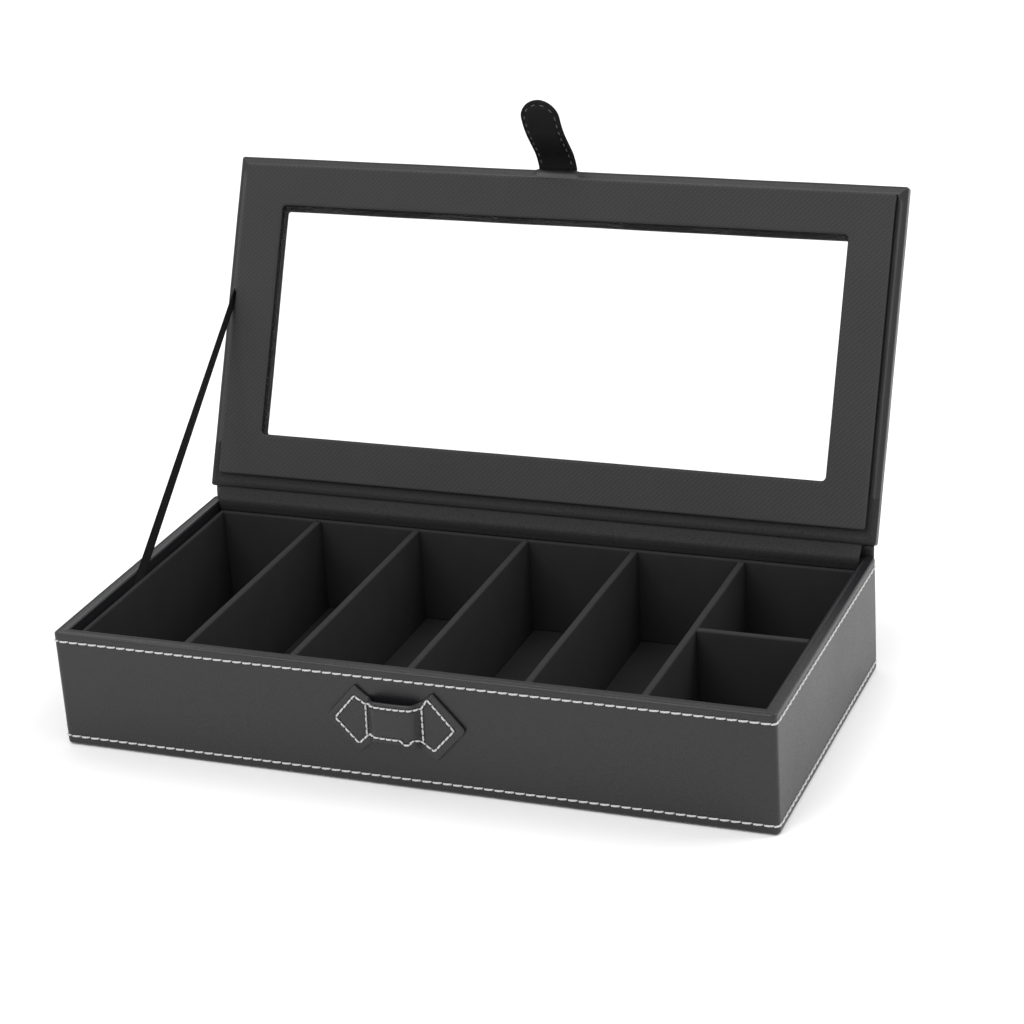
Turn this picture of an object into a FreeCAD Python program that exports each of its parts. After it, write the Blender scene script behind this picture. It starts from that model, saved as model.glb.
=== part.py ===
import FreeCAD, Part
import math
import os
import Sketcher

# Sunglasses storage box: a leather-covered tray with a suede insert, a hinged window lid,
# a ribbon stay, and a leather tongue that goes behind a keeper on the front wall.
# Origin at the middle of the tray's underside, X to the right, Y to the back, Z up.
# The lid is drawn closed in a frame at the hinge axis, and its placement turns it open.

V = FreeCAD.Vector
doc = FreeCAD.newDocument("sunglasses_box")

SIZES = {
    # Tray shell
    "tray_length": 355.0, "tray_depth": 172.0, "tray_height": 59.5,
    "leather_thick": 0.8, "board_thick": 4.4, "base_thick": 2.6,
    "corner_radius": 1.6, "rim_radius": 1.3, "foot_radius": 0.72,
    "turn_down": 18.0, "turn_under": 12.0,
    "cover_thick": 0.6, "cover_inset": 4.0, "cover_fit": 0.3,
    # Insert
    "floor_thick": 1.2, "floor_fit": 0.3,
    "insert_drop": 5.0, "insert_gap": 0.6, "insert_wall": 2.4, "suede_radius": 0.9,
    "divider_thick": 3.5,
    "shift_one": -0.9, "shift_two": -2.4, "shift_three": 0.0, "shift_four": 0.8, "shift_five": -0.5,
    "cross_shift": -1.0,
    # Lid
    "lid_overhang": 0.5, "lid_board_thick": 4.5, "lid_corner_radius": 2.0, "lid_edge_radius": 1.3,
    "lid_turn_in": 12.0, "window_turn_in": 8.0,
    "panel_thick": 3.0, "panel_seat_gap": 0.3, "panel_corner_radius": 1.5, "panel_edge_radius": 0.9,
    "panel_margin_side": 5.1, "panel_margin_front": 4.3, "panel_margin_hinge": 6.9,
    "rail_left": 27.6, "rail_right": 27.0, "rail_front": 25.0, "rail_hinge": 28.8, "window_radius": 2.0,
    "front_rail_step": 2.4,
    "pane_thick": 1.5, "pane_overlap": 6.0, "pane_fit": 0.2,
    # Lid hinge
    "hinge_rise": 5.95, "lid_open_angle": 114.9,
    "strip_thick": 0.8, "strip_inset": 3.0, "strip_gap": 0.15, "strip_bend_radius": 1.6,
    "strip_back_reach": 16.0, "strip_back_rise": 0.8, "strip_roll": 1.9,
    # Ribbon stay
    "ribbon_width": 8.0, "ribbon_thick": 0.4, "ribbon_gap": 0.1, "ribbon_rim_place": -5.3,
    "ribbon_tail": 22.0, "ribbon_lid_reach": 101.3, "ribbon_lid_inset": 4.0,
    # Tongue and keeper
    "fastening_place": -2.0,
    "tongue_width": 20.0, "tongue_ply": 0.9, "tongue_ply_gap": 0.02, "tongue_root_gap": 0.3,
    "tongue_root_rise": 1.6,
    "tongue_start_angle": 40.0, "tongue_steep_angle": 66.0, "tongue_tip_angle": 34.0,
    "tongue_root_arc": 13.0, "tongue_middle": 10.5, "tongue_tip_arc": 24.5,
    "keeper_height": 33.9, "keeper_thick": 1.4, "keeper_gap": 6.2,
    "keeper_reach": 34.5, "keeper_barb_place": 19.0, "keeper_barb_height": 17.0,
    "keeper_waist": 13.0, "keeper_band_height": 12.0, "keeper_outline_radius": 1.2,
    "keeper_loop_foot": 13.6, "keeper_foot_radius": 1.5, "keeper_shoulder_radius": 2.6,
    "keeper_side_angle": 74.0, "keeper_crown_angle": 7.0,
}

sheet = doc.addObject("Spreadsheet::Sheet", "Sizes")
for row, (alias, value) in enumerate(SIZES.items(), start=1):
    sheet.set("A%d" % row, alias)
    sheet.set("B%d" % row, str(value))
    sheet.setAlias("B%d" % row, alias)
doc.recompute()

# Lengths that several pieces share
SHELL_FLOOR = "( cover_thick + leather_thick )"
FLOOR_TOP = "( cover_thick + leather_thick + base_thick + floor_thick )"
INSERT_TOP = "( tray_height - insert_drop )"
WELL_LENGTH = "( tray_length - 2 * board_thick - 4 * leather_thick )"
WELL_DEPTH = "( tray_depth - 2 * board_thick - 4 * leather_thick )"
INSERT_LENGTH = "( " + WELL_LENGTH + " - 2 * insert_gap )"
INSERT_DEPTH = "( " + WELL_DEPTH + " - 2 * insert_gap )"
INNER_LENGTH = "( " + INSERT_LENGTH + " - 2 * insert_wall )"
INNER_DEPTH = "( " + INSERT_DEPTH + " - 2 * insert_wall )"
LID_LENGTH = "( tray_length + 2 * lid_overhang )"
LID_DEPTH = "( tray_depth + 2 * lid_overhang )"
LID_THICK = "( lid_board_thick + 2 * leather_thick )"
LID_FACE = "( panel_seat_gap + panel_thick - hinge_rise )"
PANEL_LENGTH = "( " + LID_LENGTH + " - 2 * panel_margin_side )"
PANEL_DEPTH = "( " + LID_DEPTH + " - panel_margin_front - panel_margin_hinge )"
LID_MIDDLE = "( 0 - tray_depth / 2 )"
PANEL_MIDDLE = "( 0 - tray_depth / 2 - panel_margin_hinge / 2 + panel_margin_front / 2 )"
WINDOW_LENGTH = "( " + LID_LENGTH + " - rail_left - rail_right )"
WINDOW_DEPTH = "( " + LID_DEPTH + " - rail_front - rail_hinge )"
WINDOW_MIDDLE = ("( rail_left / 2 - rail_right / 2 )",
                 "( 0 - tray_depth / 2 - rail_hinge / 2 + rail_front / 2 )")
# The frame's own opening: its front rail reaches a step further in than the panel's
FRAME_WINDOW_DEPTH = "( " + WINDOW_DEPTH + " - front_rail_step )"
FRAME_WINDOW_MIDDLE = (WINDOW_MIDDLE[0], "( " + WINDOW_MIDDLE[1] + " + front_rail_step / 2 )")

TOUCH = 0.01  # how near an edge lies to a place that it counts as being at
CLEAR = 5.0  # how far a cutting shape reaches past what it cuts


def number(text):
    """The value of an expression of size names."""
    return float(sheet.evalExpression(text))


def terms(text):
    """The same expression as other objects of the document read it."""
    return " ".join("Sizes." + word if word in SIZES else word for word in text.split())


def new_body(label):
    body = doc.addObject("PartDesign::Body", label)
    body.Label = label
    return body


def new_sketch(body, name, height):
    """A sketch parallel to the body's XY plane at a height."""
    sketch = body.newObject("Sketcher::SketchObject", name)
    plane = next(item for item in body.Origin.OriginFeatures if item.Role == "XY_Plane")
    sketch.AttachmentSupport = [(plane, "")]
    sketch.MapMode = "FlatFace"
    sketch.setExpression("AttachmentOffset.Base.z", terms(height))
    return sketch


def add_rectangle(sketch, wide, deep, middle=("0", "0")):
    """A rectangle about a middle point, with its sizes and its middle bound to expressions."""
    first = sketch.GeometryCount
    corners = [V(-1, -1, 0), V(1, -1, 0), V(1, 1, 0), V(-1, 1, 0)]
    for k in range(4):
        sketch.addGeometry(Part.LineSegment(corners[k], corners[(k + 1) % 4]), False)
    point = sketch.addGeometry(Part.Point(V(0.1, 0.1, 0)), True)
    for k in range(4):
        sketch.addConstraint(Sketcher.Constraint("Coincident", first + k, 2, first + (k + 1) % 4, 1))
    for line, kind in enumerate(("Horizontal", "Vertical", "Horizontal", "Vertical")):
        sketch.addConstraint(Sketcher.Constraint(kind, first + line))
    sketch.addConstraint(Sketcher.Constraint("Symmetric", first, 1, first + 2, 1, point, 1))
    bound = (
        (Sketcher.Constraint("DistanceX", -1, 1, point, 1, 0.1), middle[0]),
        (Sketcher.Constraint("DistanceY", -1, 1, point, 1, 0.1), middle[1]),
        (Sketcher.Constraint("DistanceX", first, 1, first, 2, 2.0), wide),
        (Sketcher.Constraint("DistanceY", first + 1, 1, first + 1, 2, 2.0), deep),
    )
    for constraint, text in bound:
        index = sketch.addConstraint(constraint)
        sketch.setExpression("Constraints[%d]" % index, terms(text))


def add_pad(body, sketch, name, length):
    pad = body.newObject("PartDesign::Pad", name)
    pad.Profile = sketch
    pad.setExpression("Length", terms(length))
    doc.recompute()


def cut_up(body, sketch, name, length):
    """A pocket that runs up from its sketch, checked by the volume that it takes away."""
    doc.recompute()
    before = body.Shape.Volume
    pocket = body.newObject("PartDesign::Pocket", name)
    pocket.Profile = sketch
    pocket.Reversed = True
    pocket.setExpression("Length", terms(length))
    doc.recompute()
    if body.Shape.Volume > before - 1.0:
        raise RuntimeError(body.Label + ": " + name + " takes nothing away")


def round_edges(body, name, radius, choose):
    """Rounds the edges of the body that choose picks."""
    doc.recompute()
    base = body.Tip
    names = ["Edge%d" % (k + 1) for k, edge in enumerate(base.Shape.Edges) if choose(edge)]
    if not names:
        raise RuntimeError(body.Label + ": " + name + " finds no edge")
    fillet = body.newObject("PartDesign::Fillet", name)
    fillet.Base = (base, names)
    fillet.setExpression("Radius", terms(radius))
    doc.recompute()


def ends(edge):
    return [vertex.Point for vertex in edge.Vertexes]


def upright(edge):
    points = ends(edge)
    return len(points) == 2 and abs(points[0].x - points[1].x) + abs(points[0].y - points[1].y) < TOUCH


def at_height(edge, height):
    return all(abs(point.z - number(height)) < TOUCH for point in ends(edge))


def at_top_of(edge, height):
    """Whether an edge is a long one at a height, and not one of the short ones across its piece."""
    return at_height(edge, height) and edge.Length > CLEAR


def outside(edge, length, depth, middle="0"):
    """Whether an edge lies on or outside a rectangle about a middle on the Y axis."""
    half_length = number(length) / 2 - TOUCH
    half_depth = number(depth) / 2 - TOUCH
    centre = number(middle)
    return all(abs(point.x) > half_length or abs(point.y - centre) > half_depth for point in ends(edge))


def block(label, wide, deep, high, middle=("0", "0"), height="0"):
    """A padded rectangle that stands on a height."""
    body = new_body(label)
    sketch = new_sketch(body, label + "_outline", height)
    add_rectangle(sketch, wide, deep, middle)
    add_pad(body, sketch, label + "_pad", high)
    return body


def turn_open(item):
    """Places a lid piece, drawn closed about the hinge axis, at its open rest position."""
    item.Placement = FreeCAD.Placement(V(0, 0, 0), FreeCAD.Rotation(V(-1, 0, 0), 90))
    item.setExpression("Placement.Base.y", terms("tray_depth / 2"))
    item.setExpression("Placement.Base.z", terms("tray_height + hinge_rise"))
    item.setExpression("Placement.Rotation.Angle", terms("lid_open_angle"))
    doc.recompute()


# Wall boards and base board of the tray: the long walls run through, the ends fit between them
WALL_HIGH = "( tray_height - leather_thick - " + SHELL_FLOOR + " )"
WALL_SHIFT_X = "( tray_length / 2 - leather_thick - board_thick / 2 )"
WALL_SHIFT_Y = "( tray_depth / 2 - leather_thick - board_thick / 2 )"
LONG_WALL = "( tray_length - 2 * leather_thick )"
END_WALL = "( tray_depth - 2 * leather_thick - 2 * board_thick )"
walls = (
    ("front_board", LONG_WALL, "board_thick", ("0", "0 - " + WALL_SHIFT_Y)),
    ("back_board", LONG_WALL, "board_thick", ("0", WALL_SHIFT_Y)),
    ("left_board", "board_thick", END_WALL, ("0 - " + WALL_SHIFT_X, "0")),
    ("right_board", "board_thick", END_WALL, (WALL_SHIFT_X, "0")),
)
for label, wide, deep, middle in walls:
    board = block(label, wide, deep, WALL_HIGH, middle, SHELL_FLOOR)
    round_edges(board, label + "_rim", "rim_radius - leather_thick",
                lambda edge: at_top_of(edge, "tray_height - leather_thick"))
block("base_board", "tray_length - 2 * leather_thick - 2 * board_thick", END_WALL, "base_thick",
      height=SHELL_FLOOR)

# Outer leather: one skin over the outside of the walls, over the rim, down inside and under the base
leather = block("outer_leather", "tray_length", "tray_depth", "tray_height - cover_thick",
                height="cover_thick")
opening = new_sketch(leather, "leather_opening", "cover_thick")
add_rectangle(opening, "tray_length - 2 * turn_under", "tray_depth - 2 * turn_under")
cut_up(leather, opening, "leather_opening_cut", "leather_thick")
inside = new_sketch(leather, "leather_inside", SHELL_FLOOR)
add_rectangle(inside, "tray_length - 2 * leather_thick", "tray_depth - 2 * leather_thick")
cut_up(leather, inside, "leather_inside_cut", "tray_height - turn_down - " + SHELL_FLOOR)
slot = new_sketch(leather, "leather_slot", "tray_height - turn_down")
add_rectangle(slot, "tray_length - 2 * leather_thick", "tray_depth - 2 * leather_thick")
add_rectangle(slot, WELL_LENGTH + " + 2 * leather_thick", WELL_DEPTH + " + 2 * leather_thick")
cut_up(leather, slot, "leather_slot_cut", "turn_down - leather_thick")
well = new_sketch(leather, "leather_well", "tray_height - turn_down")
add_rectangle(well, WELL_LENGTH, WELL_DEPTH)
cut_up(leather, well, "leather_well_cut", "turn_down")
round_edges(leather, "leather_corners", "corner_radius",
            lambda edge: upright(edge) and outside(edge, "tray_length", "tray_depth"))
round_edges(leather, "leather_rim", "rim_radius",
            lambda edge: at_height(edge, "tray_height"))
round_edges(leather, "leather_foot", "foot_radius",
            lambda edge: at_height(edge, "cover_thick")
            and outside(edge, "tray_length - turn_under", "tray_depth - turn_under"))

# Bottom cover: a thin sheet glued over the turned-in leather, pressed up into the opening between
cover = block("bottom_cover", "tray_length - 2 * cover_inset", "tray_depth - 2 * cover_inset", "cover_thick")
pressed = new_sketch(cover, "cover_pressed", "cover_thick")
add_rectangle(pressed, "tray_length - 2 * turn_under - 2 * cover_fit",
              "tray_depth - 2 * turn_under - 2 * cover_fit")
add_pad(cover, pressed, "cover_pressed_pad", "leather_thick")

# Insert: a suede-covered floor, four thin walls that stand on it, and the dividers between them
block("floor_pad", WELL_LENGTH + " - 2 * floor_fit", WELL_DEPTH + " - 2 * floor_fit", "floor_thick",
      height="cover_thick + leather_thick + base_thick")
INSERT_HIGH = "( " + INSERT_TOP + " - " + FLOOR_TOP + " )"
INSERT_SIDE = "( " + INSERT_LENGTH + " / 2 - insert_wall / 2 )"
INSERT_END = "( " + INSERT_DEPTH + " / 2 - insert_wall / 2 )"
PITCH = "( ( " + INNER_LENGTH + " + divider_thick ) / 6 )"
CROSS_START = "( 2 * " + PITCH + " + shift_five + divider_thick / 2 )"
thin_walls = [
    ("insert_front_wall", INSERT_LENGTH, "insert_wall", ("0", "0 - " + INSERT_END)),
    ("insert_back_wall", INSERT_LENGTH, "insert_wall", ("0", INSERT_END)),
    ("insert_left_wall", "insert_wall", INNER_DEPTH, ("0 - " + INSERT_SIDE, "0")),
    ("insert_right_wall", "insert_wall", INNER_DEPTH, (INSERT_SIDE, "0")),
]
for k, shift in enumerate(("shift_one", "shift_two", "shift_three", "shift_four", "shift_five")):
    place = "%d * %s + %s" % (k - 2, PITCH, shift)
    thin_walls.append(("divider_%d" % (k + 1), "divider_thick", INNER_DEPTH, (place, "0")))
thin_walls.append(("cross_divider", INNER_LENGTH + " / 2 - " + CROSS_START, "divider_thick",
                   (INNER_LENGTH + " / 4 + " + CROSS_START + " / 2", "cross_shift")))
for label, wide, deep, middle in thin_walls:
    panel = block(label, wide, deep, INSERT_HIGH, middle, FLOOR_TOP)
    round_edges(panel, label + "_top", "suede_radius",
                lambda edge: at_top_of(edge, INSERT_TOP))

# Lid board: a flat frame round the window
lid_board = block("lid_board", LID_LENGTH + " - 2 * leather_thick", LID_DEPTH + " - 2 * leather_thick",
                  "lid_board_thick", ("0", LID_MIDDLE), LID_FACE + " + leather_thick")
board_window = new_sketch(lid_board, "lid_board_window", LID_FACE + " + leather_thick")
add_rectangle(board_window, WINDOW_LENGTH + " + 2 * leather_thick",
              FRAME_WINDOW_DEPTH + " + 2 * leather_thick", FRAME_WINDOW_MIDDLE)
cut_up(lid_board, board_window, "lid_board_window_cut", "lid_board_thick")
round_edges(lid_board, "lid_board_corners", "lid_corner_radius - leather_thick",
            lambda edge: upright(edge) and outside(edge, LID_LENGTH + " - 2 * leather_thick",
                                                   LID_DEPTH + " - 2 * leather_thick", LID_MIDDLE))
turn_open(lid_board)

# Lid leather: round the frame's outside, through the window and a short way in on the lid's inner face
lid_leather = block("lid_leather", LID_LENGTH, LID_DEPTH, LID_THICK, ("0", LID_MIDDLE), LID_FACE)
window = new_sketch(lid_leather, "leather_window", LID_FACE)
add_rectangle(window, WINDOW_LENGTH, FRAME_WINDOW_DEPTH, FRAME_WINDOW_MIDDLE)
cut_up(lid_leather, window, "leather_window_cut", LID_THICK)
bare = new_sketch(lid_leather, "leather_bare", LID_FACE)
add_rectangle(bare, LID_LENGTH + " - 2 * lid_turn_in", LID_DEPTH + " - 2 * lid_turn_in", ("0", LID_MIDDLE))
add_rectangle(bare, WINDOW_LENGTH + " + 2 * window_turn_in",
              FRAME_WINDOW_DEPTH + " + 2 * window_turn_in", FRAME_WINDOW_MIDDLE)
cut_up(lid_leather, bare, "leather_bare_cut", "leather_thick")
hollow = new_sketch(lid_leather, "leather_hollow", LID_FACE + " + leather_thick")
add_rectangle(hollow, LID_LENGTH + " - 2 * leather_thick", LID_DEPTH + " - 2 * leather_thick",
              ("0", LID_MIDDLE))
add_rectangle(hollow, WINDOW_LENGTH + " + 2 * leather_thick",
              FRAME_WINDOW_DEPTH + " + 2 * leather_thick", FRAME_WINDOW_MIDDLE)
cut_up(lid_leather, hollow, "leather_hollow_cut", "lid_board_thick")
round_edges(lid_leather, "lid_leather_corners", "lid_corner_radius",
            lambda edge: upright(edge) and outside(edge, LID_LENGTH, LID_DEPTH, LID_MIDDLE))
round_edges(lid_leather, "lid_leather_edges", "lid_edge_radius",
            lambda edge: (at_height(edge, LID_FACE) or at_height(edge, LID_FACE + " + " + LID_THICK))
            and outside(edge, LID_LENGTH, LID_DEPTH, LID_MIDDLE))
turn_open(lid_leather)

# Inner panel: a fabric-covered card frame glued on the lid's inner face, rebated for the pane
PANEL_FACE = "( " + LID_FACE + " - panel_thick )"
panel = block("inner_panel", PANEL_LENGTH, PANEL_DEPTH, "panel_thick", ("0", PANEL_MIDDLE), PANEL_FACE)
panel_window = new_sketch(panel, "panel_window", PANEL_FACE)
add_rectangle(panel_window, WINDOW_LENGTH, WINDOW_DEPTH, WINDOW_MIDDLE)
cut_up(panel, panel_window, "panel_window_cut", "panel_thick")
rebate = new_sketch(panel, "panel_rebate", LID_FACE + " - pane_thick")
add_rectangle(rebate, WINDOW_LENGTH + " + 2 * pane_overlap + 2 * pane_fit",
              WINDOW_DEPTH + " + 2 * pane_overlap + 2 * pane_fit", WINDOW_MIDDLE)
cut_up(panel, rebate, "panel_rebate_cut", "pane_thick")
round_edges(panel, "panel_corners", "panel_corner_radius",
            lambda edge: upright(edge) and outside(edge, PANEL_LENGTH, PANEL_DEPTH, PANEL_MIDDLE))
round_edges(panel, "panel_window_corners", "window_radius",
            lambda edge: upright(edge) and at_height(edge.Vertexes[0], PANEL_FACE)
            and not outside(edge, PANEL_LENGTH, PANEL_DEPTH, PANEL_MIDDLE))
round_edges(panel, "panel_edges", "panel_edge_radius",
            lambda edge: at_height(edge, PANEL_FACE))
turn_open(panel)

# Window pane: a clear sheet held in the panel's rebate
pane = block("window_pane", WINDOW_LENGTH + " + 2 * pane_overlap", WINDOW_DEPTH + " + 2 * pane_overlap",
             "pane_thick", WINDOW_MIDDLE, LID_FACE + " - pane_thick")
turn_open(pane)


# Flexible pieces: outlines in the YZ plane that follow a bent path, drawn through points of exact arcs
def along(start, heading, runs, aside):
    """Points of a path of arcs and straight runs, each (length, turn), moved sideways by a distance.

    Heading 0 points to the front and 90 down; a run gives its start, middle and end point.
    """
    place = V(0, start[0], start[1])
    angle = math.radians(heading)
    points = []
    for length, turn in runs:
        for part in (0.0, 0.5, 1.0):
            bend = math.radians(turn) * part
            if turn:
                radius = length / math.radians(turn)
                forward = radius * (math.sin(angle + bend) - math.sin(angle))
                drop = radius * (math.cos(angle) - math.cos(angle + bend))
            else:
                forward = length * part * math.cos(angle)
                drop = length * part * math.sin(angle)
            on_path = place - V(0, forward, drop)
            points.append(on_path + V(0, -math.sin(angle + bend), math.cos(angle + bend)) * aside)
        place = on_path
        angle += math.radians(turn)
    return points


def path_edges(points, runs):
    """The edges through the points of along: an arc for each run that turns, a line for each that doesn't."""
    edges = []
    for k, (length, turn) in enumerate(runs):
        first, middle, last = points[3 * k:3 * k + 3]
        curve = Part.Arc(first, middle, last) if turn else Part.LineSegment(first, last)
        edges.append(curve.toShape())
    return edges


def bent_strip(start, heading, runs, low, high, left, wide):
    """A strip between two sides of a bent path, from left over its width along X."""
    lower = along(start, heading, runs, low)
    upper = along(start, heading, runs, high)
    edges = path_edges(lower, runs) + path_edges(upper, runs)
    edges.append(Part.LineSegment(lower[0], upper[0]).toShape())
    edges.append(Part.LineSegment(lower[-1], upper[-1]).toShape())
    face = Part.Face(Part.Wire(Part.__sortEdges__(edges)))
    face.translate(V(left, 0, 0))
    return face.extrude(V(wide, 0, 0))


def rounded_wire(points, radius):
    """A closed or open line through points with its inner corners rounded by arcs of one radius."""
    edges = []
    before = points[0]
    for k in range(1, len(points) - 1):
        back = (points[k - 1] - points[k]).normalize()
        on = (points[k + 1] - points[k]).normalize()
        half = back.getAngle(on) / 2
        cut = radius / math.tan(half)
        middle = points[k] + (back + on).normalize() * (radius / math.sin(half) - radius)
        first, last = points[k] + back * cut, points[k] + on * cut
        edges.append(Part.LineSegment(before, first).toShape())
        edges.append(Part.Arc(first, middle, last).toShape())
        before = last
    edges.append(Part.LineSegment(before, points[-1]).toShape())
    return Part.Wire(edges)


def hold(label, shape):
    item = doc.addObject("Part::Feature", label)
    item.Label = label
    item.Shape = shape
    return item


# Tongue: two plies of leather sewn together, curved from the lid's front edge to a round tip
fastening = number("fastening_place")
half_tongue = number("tongue_width / 2")
root = (-number("tray_depth + lid_overhang + tongue_root_gap + tongue_ply"),
        number(LID_FACE + " + tongue_root_rise"))
tongue_runs = (
    (number("tongue_root_arc"), number("tongue_steep_angle - tongue_start_angle")),
    (number("tongue_middle"), 0.0),
    (number("tongue_tip_arc"), number("tongue_tip_angle - tongue_steep_angle")),
)
tip = along(root, number("tongue_start_angle"), tongue_runs, 0.0)[-1]
chord = tip - V(0, root[0], root[1])
lean = math.degrees(math.atan2(-chord.z, -chord.y))
to_round = chord.Length - half_tongue
deep = chord.Length
stadium = Part.makeBox(2 * half_tongue, to_round + CLEAR, 2 * deep, V(-half_tongue, -CLEAR, -deep))
stadium = stadium.fuse(Part.makeCylinder(half_tongue, 2 * deep, V(0, to_round, -deep)))
stadium.rotate(V(0, 0, 0), V(0, 0, 1), 180)
stadium.rotate(V(0, 0, 0), V(1, 0, 0), lean)
stadium.translate(V(fastening, root[0], root[1]))
half_gap = number("tongue_ply_gap / 2")
ply = number("tongue_ply")


def tongue_ply(low, high):
    strip = bent_strip(root, number("tongue_start_angle"), tongue_runs, low, high,
                       fastening - half_tongue - CLEAR, 2 * half_tongue + 2 * CLEAR)
    return strip.common(stadium)


def root_bead(radius):
    """The outer ply folded round the tongue's root, as a rod along the fold."""
    start = V(fastening - half_tongue, root[0], root[1])
    return Part.makeCylinder(radius, 2 * half_tongue, start, V(1, 0, 0))


outer_ply = tongue_ply(half_gap, half_gap + ply).fuse(root_bead(ply))
turn_open(hold("tongue_leather", outer_ply.removeSplitter()))
inner_ply = tongue_ply(-half_gap - ply, -half_gap).cut(root_bead(ply + 2 * half_gap))
turn_open(hold("tongue_lining", inner_ply))

# Keeper: a bow-tie shaped strap sewn flat on the front wall, its middle raised into a loop for the tongue
thick = number("keeper_thick")
reach = number("keeper_reach")
side = number("keeper_side_angle")
crown = number("keeper_crown_angle")
foot_radius = number("keeper_foot_radius")
shoulder_radius = number("keeper_shoulder_radius")
foot_place = number("keeper_loop_foot")


def rise_of(radius, low, high):
    return radius * (math.cos(math.radians(low)) - math.cos(math.radians(high)))


def run_of(radius, low, high):
    return radius * (math.sin(math.radians(high)) - math.sin(math.radians(low)))


# The side's straight length makes the loop as high as its gap, and the crown takes the width that is left
curved_rise = rise_of(foot_radius, 0, side) + rise_of(shoulder_radius, crown, side)
curved_run = run_of(foot_radius, 0, side) + run_of(shoulder_radius, crown, side)
crown_slope = math.tan(math.radians(crown / 2))
straight = (number("keeper_gap") - curved_rise - (foot_place - curved_run) * crown_slope) / (
    math.sin(math.radians(side)) - math.cos(math.radians(side)) * crown_slope)
half_crown = foot_place - curved_run - straight * math.cos(math.radians(side))
crown_arc = half_crown / math.sin(math.radians(crown)) * math.radians(crown)
wing = reach + CLEAR - foot_place
keeper_runs = (
    (wing, 0.0),
    (foot_radius * math.radians(side), side),
    (straight, 0.0),
    (shoulder_radius * math.radians(side - crown), crown - side),
    (2 * crown_arc, -2 * crown),
    (shoulder_radius * math.radians(side - crown), crown - side),
    (straight, 0.0),
    (foot_radius * math.radians(side), side),
    (wing, 0.0),
)
tall = number("keeper_barb_height") + CLEAR
strap = bent_strip((reach + CLEAR, -thick / 2), 0.0, keeper_runs, -thick / 2, thick / 2, -tall, 2 * tall)
# Drawn along Y and bulging down, the strap is turned to lie along X and to bulge to the front
strap.rotate(V(0, 0, 0), V(1, 1, 1), -120)
quarter = [V(reach, 0, 0), V(number("keeper_barb_place"), 0, number("keeper_barb_height")),
           V(number("keeper_waist"), 0, number("keeper_band_height"))]
outline = quarter + [V(-point.x, 0, point.z) for point in reversed(quarter)]
outline += [V(point.x, 0, -point.z) for point in reversed(outline[1:-1])]
seam = (outline[0] + outline[1]) * 0.5
outline = [seam] + outline[1:] + [outline[0], seam]
shadow = Part.Face(rounded_wire(outline, number("keeper_outline_radius")))
bow_tie = shadow.extrude(V(0, -number("keeper_gap + keeper_thick") - CLEAR, 0))
keeper = hold("keeper_strap", strap.common(bow_tie))
keeper.setExpression("Placement.Base.x", terms("fastening_place"))
keeper.setExpression("Placement.Base.y", terms("0 - tray_depth / 2"))
keeper.setExpression("Placement.Base.z", terms("keeper_height"))

# Hinge strips at rest, between the tray's back wall and the lid's back edge, which faces down when open
to_open = FreeCAD.Placement(V(0, number("tray_depth / 2"), number("tray_height + hinge_rise")),
                            FreeCAD.Rotation(V(-1, 0, 0), number("lid_open_angle")))
strip_half = number("strip_thick / 2")
strip_gap = number("strip_gap")
beside_lid = number("lid_overhang") + strip_gap
edge_inner = to_open.multVec(V(0, beside_lid, number(LID_FACE + " + lid_edge_radius")))
edge_outer = to_open.multVec(V(0, beside_lid, number(LID_FACE + " + " + LID_THICK + " - lid_edge_radius")))
rim_height = number("tray_height")
back_face = number("tray_depth / 2") + strip_gap + strip_half
well_face = number(WELL_DEPTH + " / 2") - strip_gap - strip_half
roll = number("strip_roll")


def strip_of(label, length, points):
    """A hinge strip: a line through points, rounded at its corners and thickened to both sides."""
    path = rounded_wire(points, number("strip_bend_radius"))
    face = Part.Face(path.makeOffset2D(strip_half))
    face.translate(V(-length / 2, 0, 0))
    return hold(label, face.extrude(V(length, 0, 0)))


off_lid = to_open.Rotation.multVec(V(0, strip_half, 0))
strip_of("hinge_leather", number(LID_LENGTH + " - 2 * strip_inset"), [
    V(0, back_face, rim_height - number("strip_back_reach")),
    V(0, back_face, rim_height + number("strip_back_rise")),
    edge_outer + off_lid,
])
strip_of("hinge_lining", number(WELL_LENGTH) - 2 * strip_gap, [
    V(0, well_face, number(INSERT_TOP) + strip_half + strip_gap),
    V(0, well_face - roll, rim_height - roll / 2),
    V(0, well_face - roll / 2, rim_height + roll),
    edge_inner + off_lid,
])

# Ribbon stay: its tail lies between the tray's left wall and the insert, its other end on the lid's margin
half_ribbon = number("ribbon_width / 2")
ribbon_half = number("ribbon_thick / 2")
wall_x = 0 - number(WELL_LENGTH + " / 2 - ribbon_gap") + ribbon_half
lid_x = 0 - number(LID_LENGTH + " / 2 - ribbon_lid_inset")
crossing = V(wall_x, number("ribbon_rim_place"), rim_height)
lid_end = to_open.multVec(V(0, 0 - number("ribbon_lid_reach"), number(LID_FACE + " - ribbon_gap")))
run = V(0, lid_end.y - crossing.y, lid_end.z - crossing.z).normalize()
square = V(0, -run.z, run.y)
tail_end = crossing - run * number("ribbon_tail")
clear_rim = crossing + run * (half_ribbon * run.y / run.z)
lid_line = to_open.Rotation.multVec(V(0, -1, 0))
lid_end = V(lid_x, lid_end.y, lid_end.z)
skew = half_ribbon / math.sin(run.getAngle(lid_line))


def ribbon_section(middle, wide):
    """The ribbon's cross-section about a point, with half its width as a vector."""
    flat = V(ribbon_half, 0, 0)
    corners = [middle - wide - flat, middle + wide - flat, middle + wide + flat, middle - wide + flat]
    return Part.makePolygon(corners + corners[:1])


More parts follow.
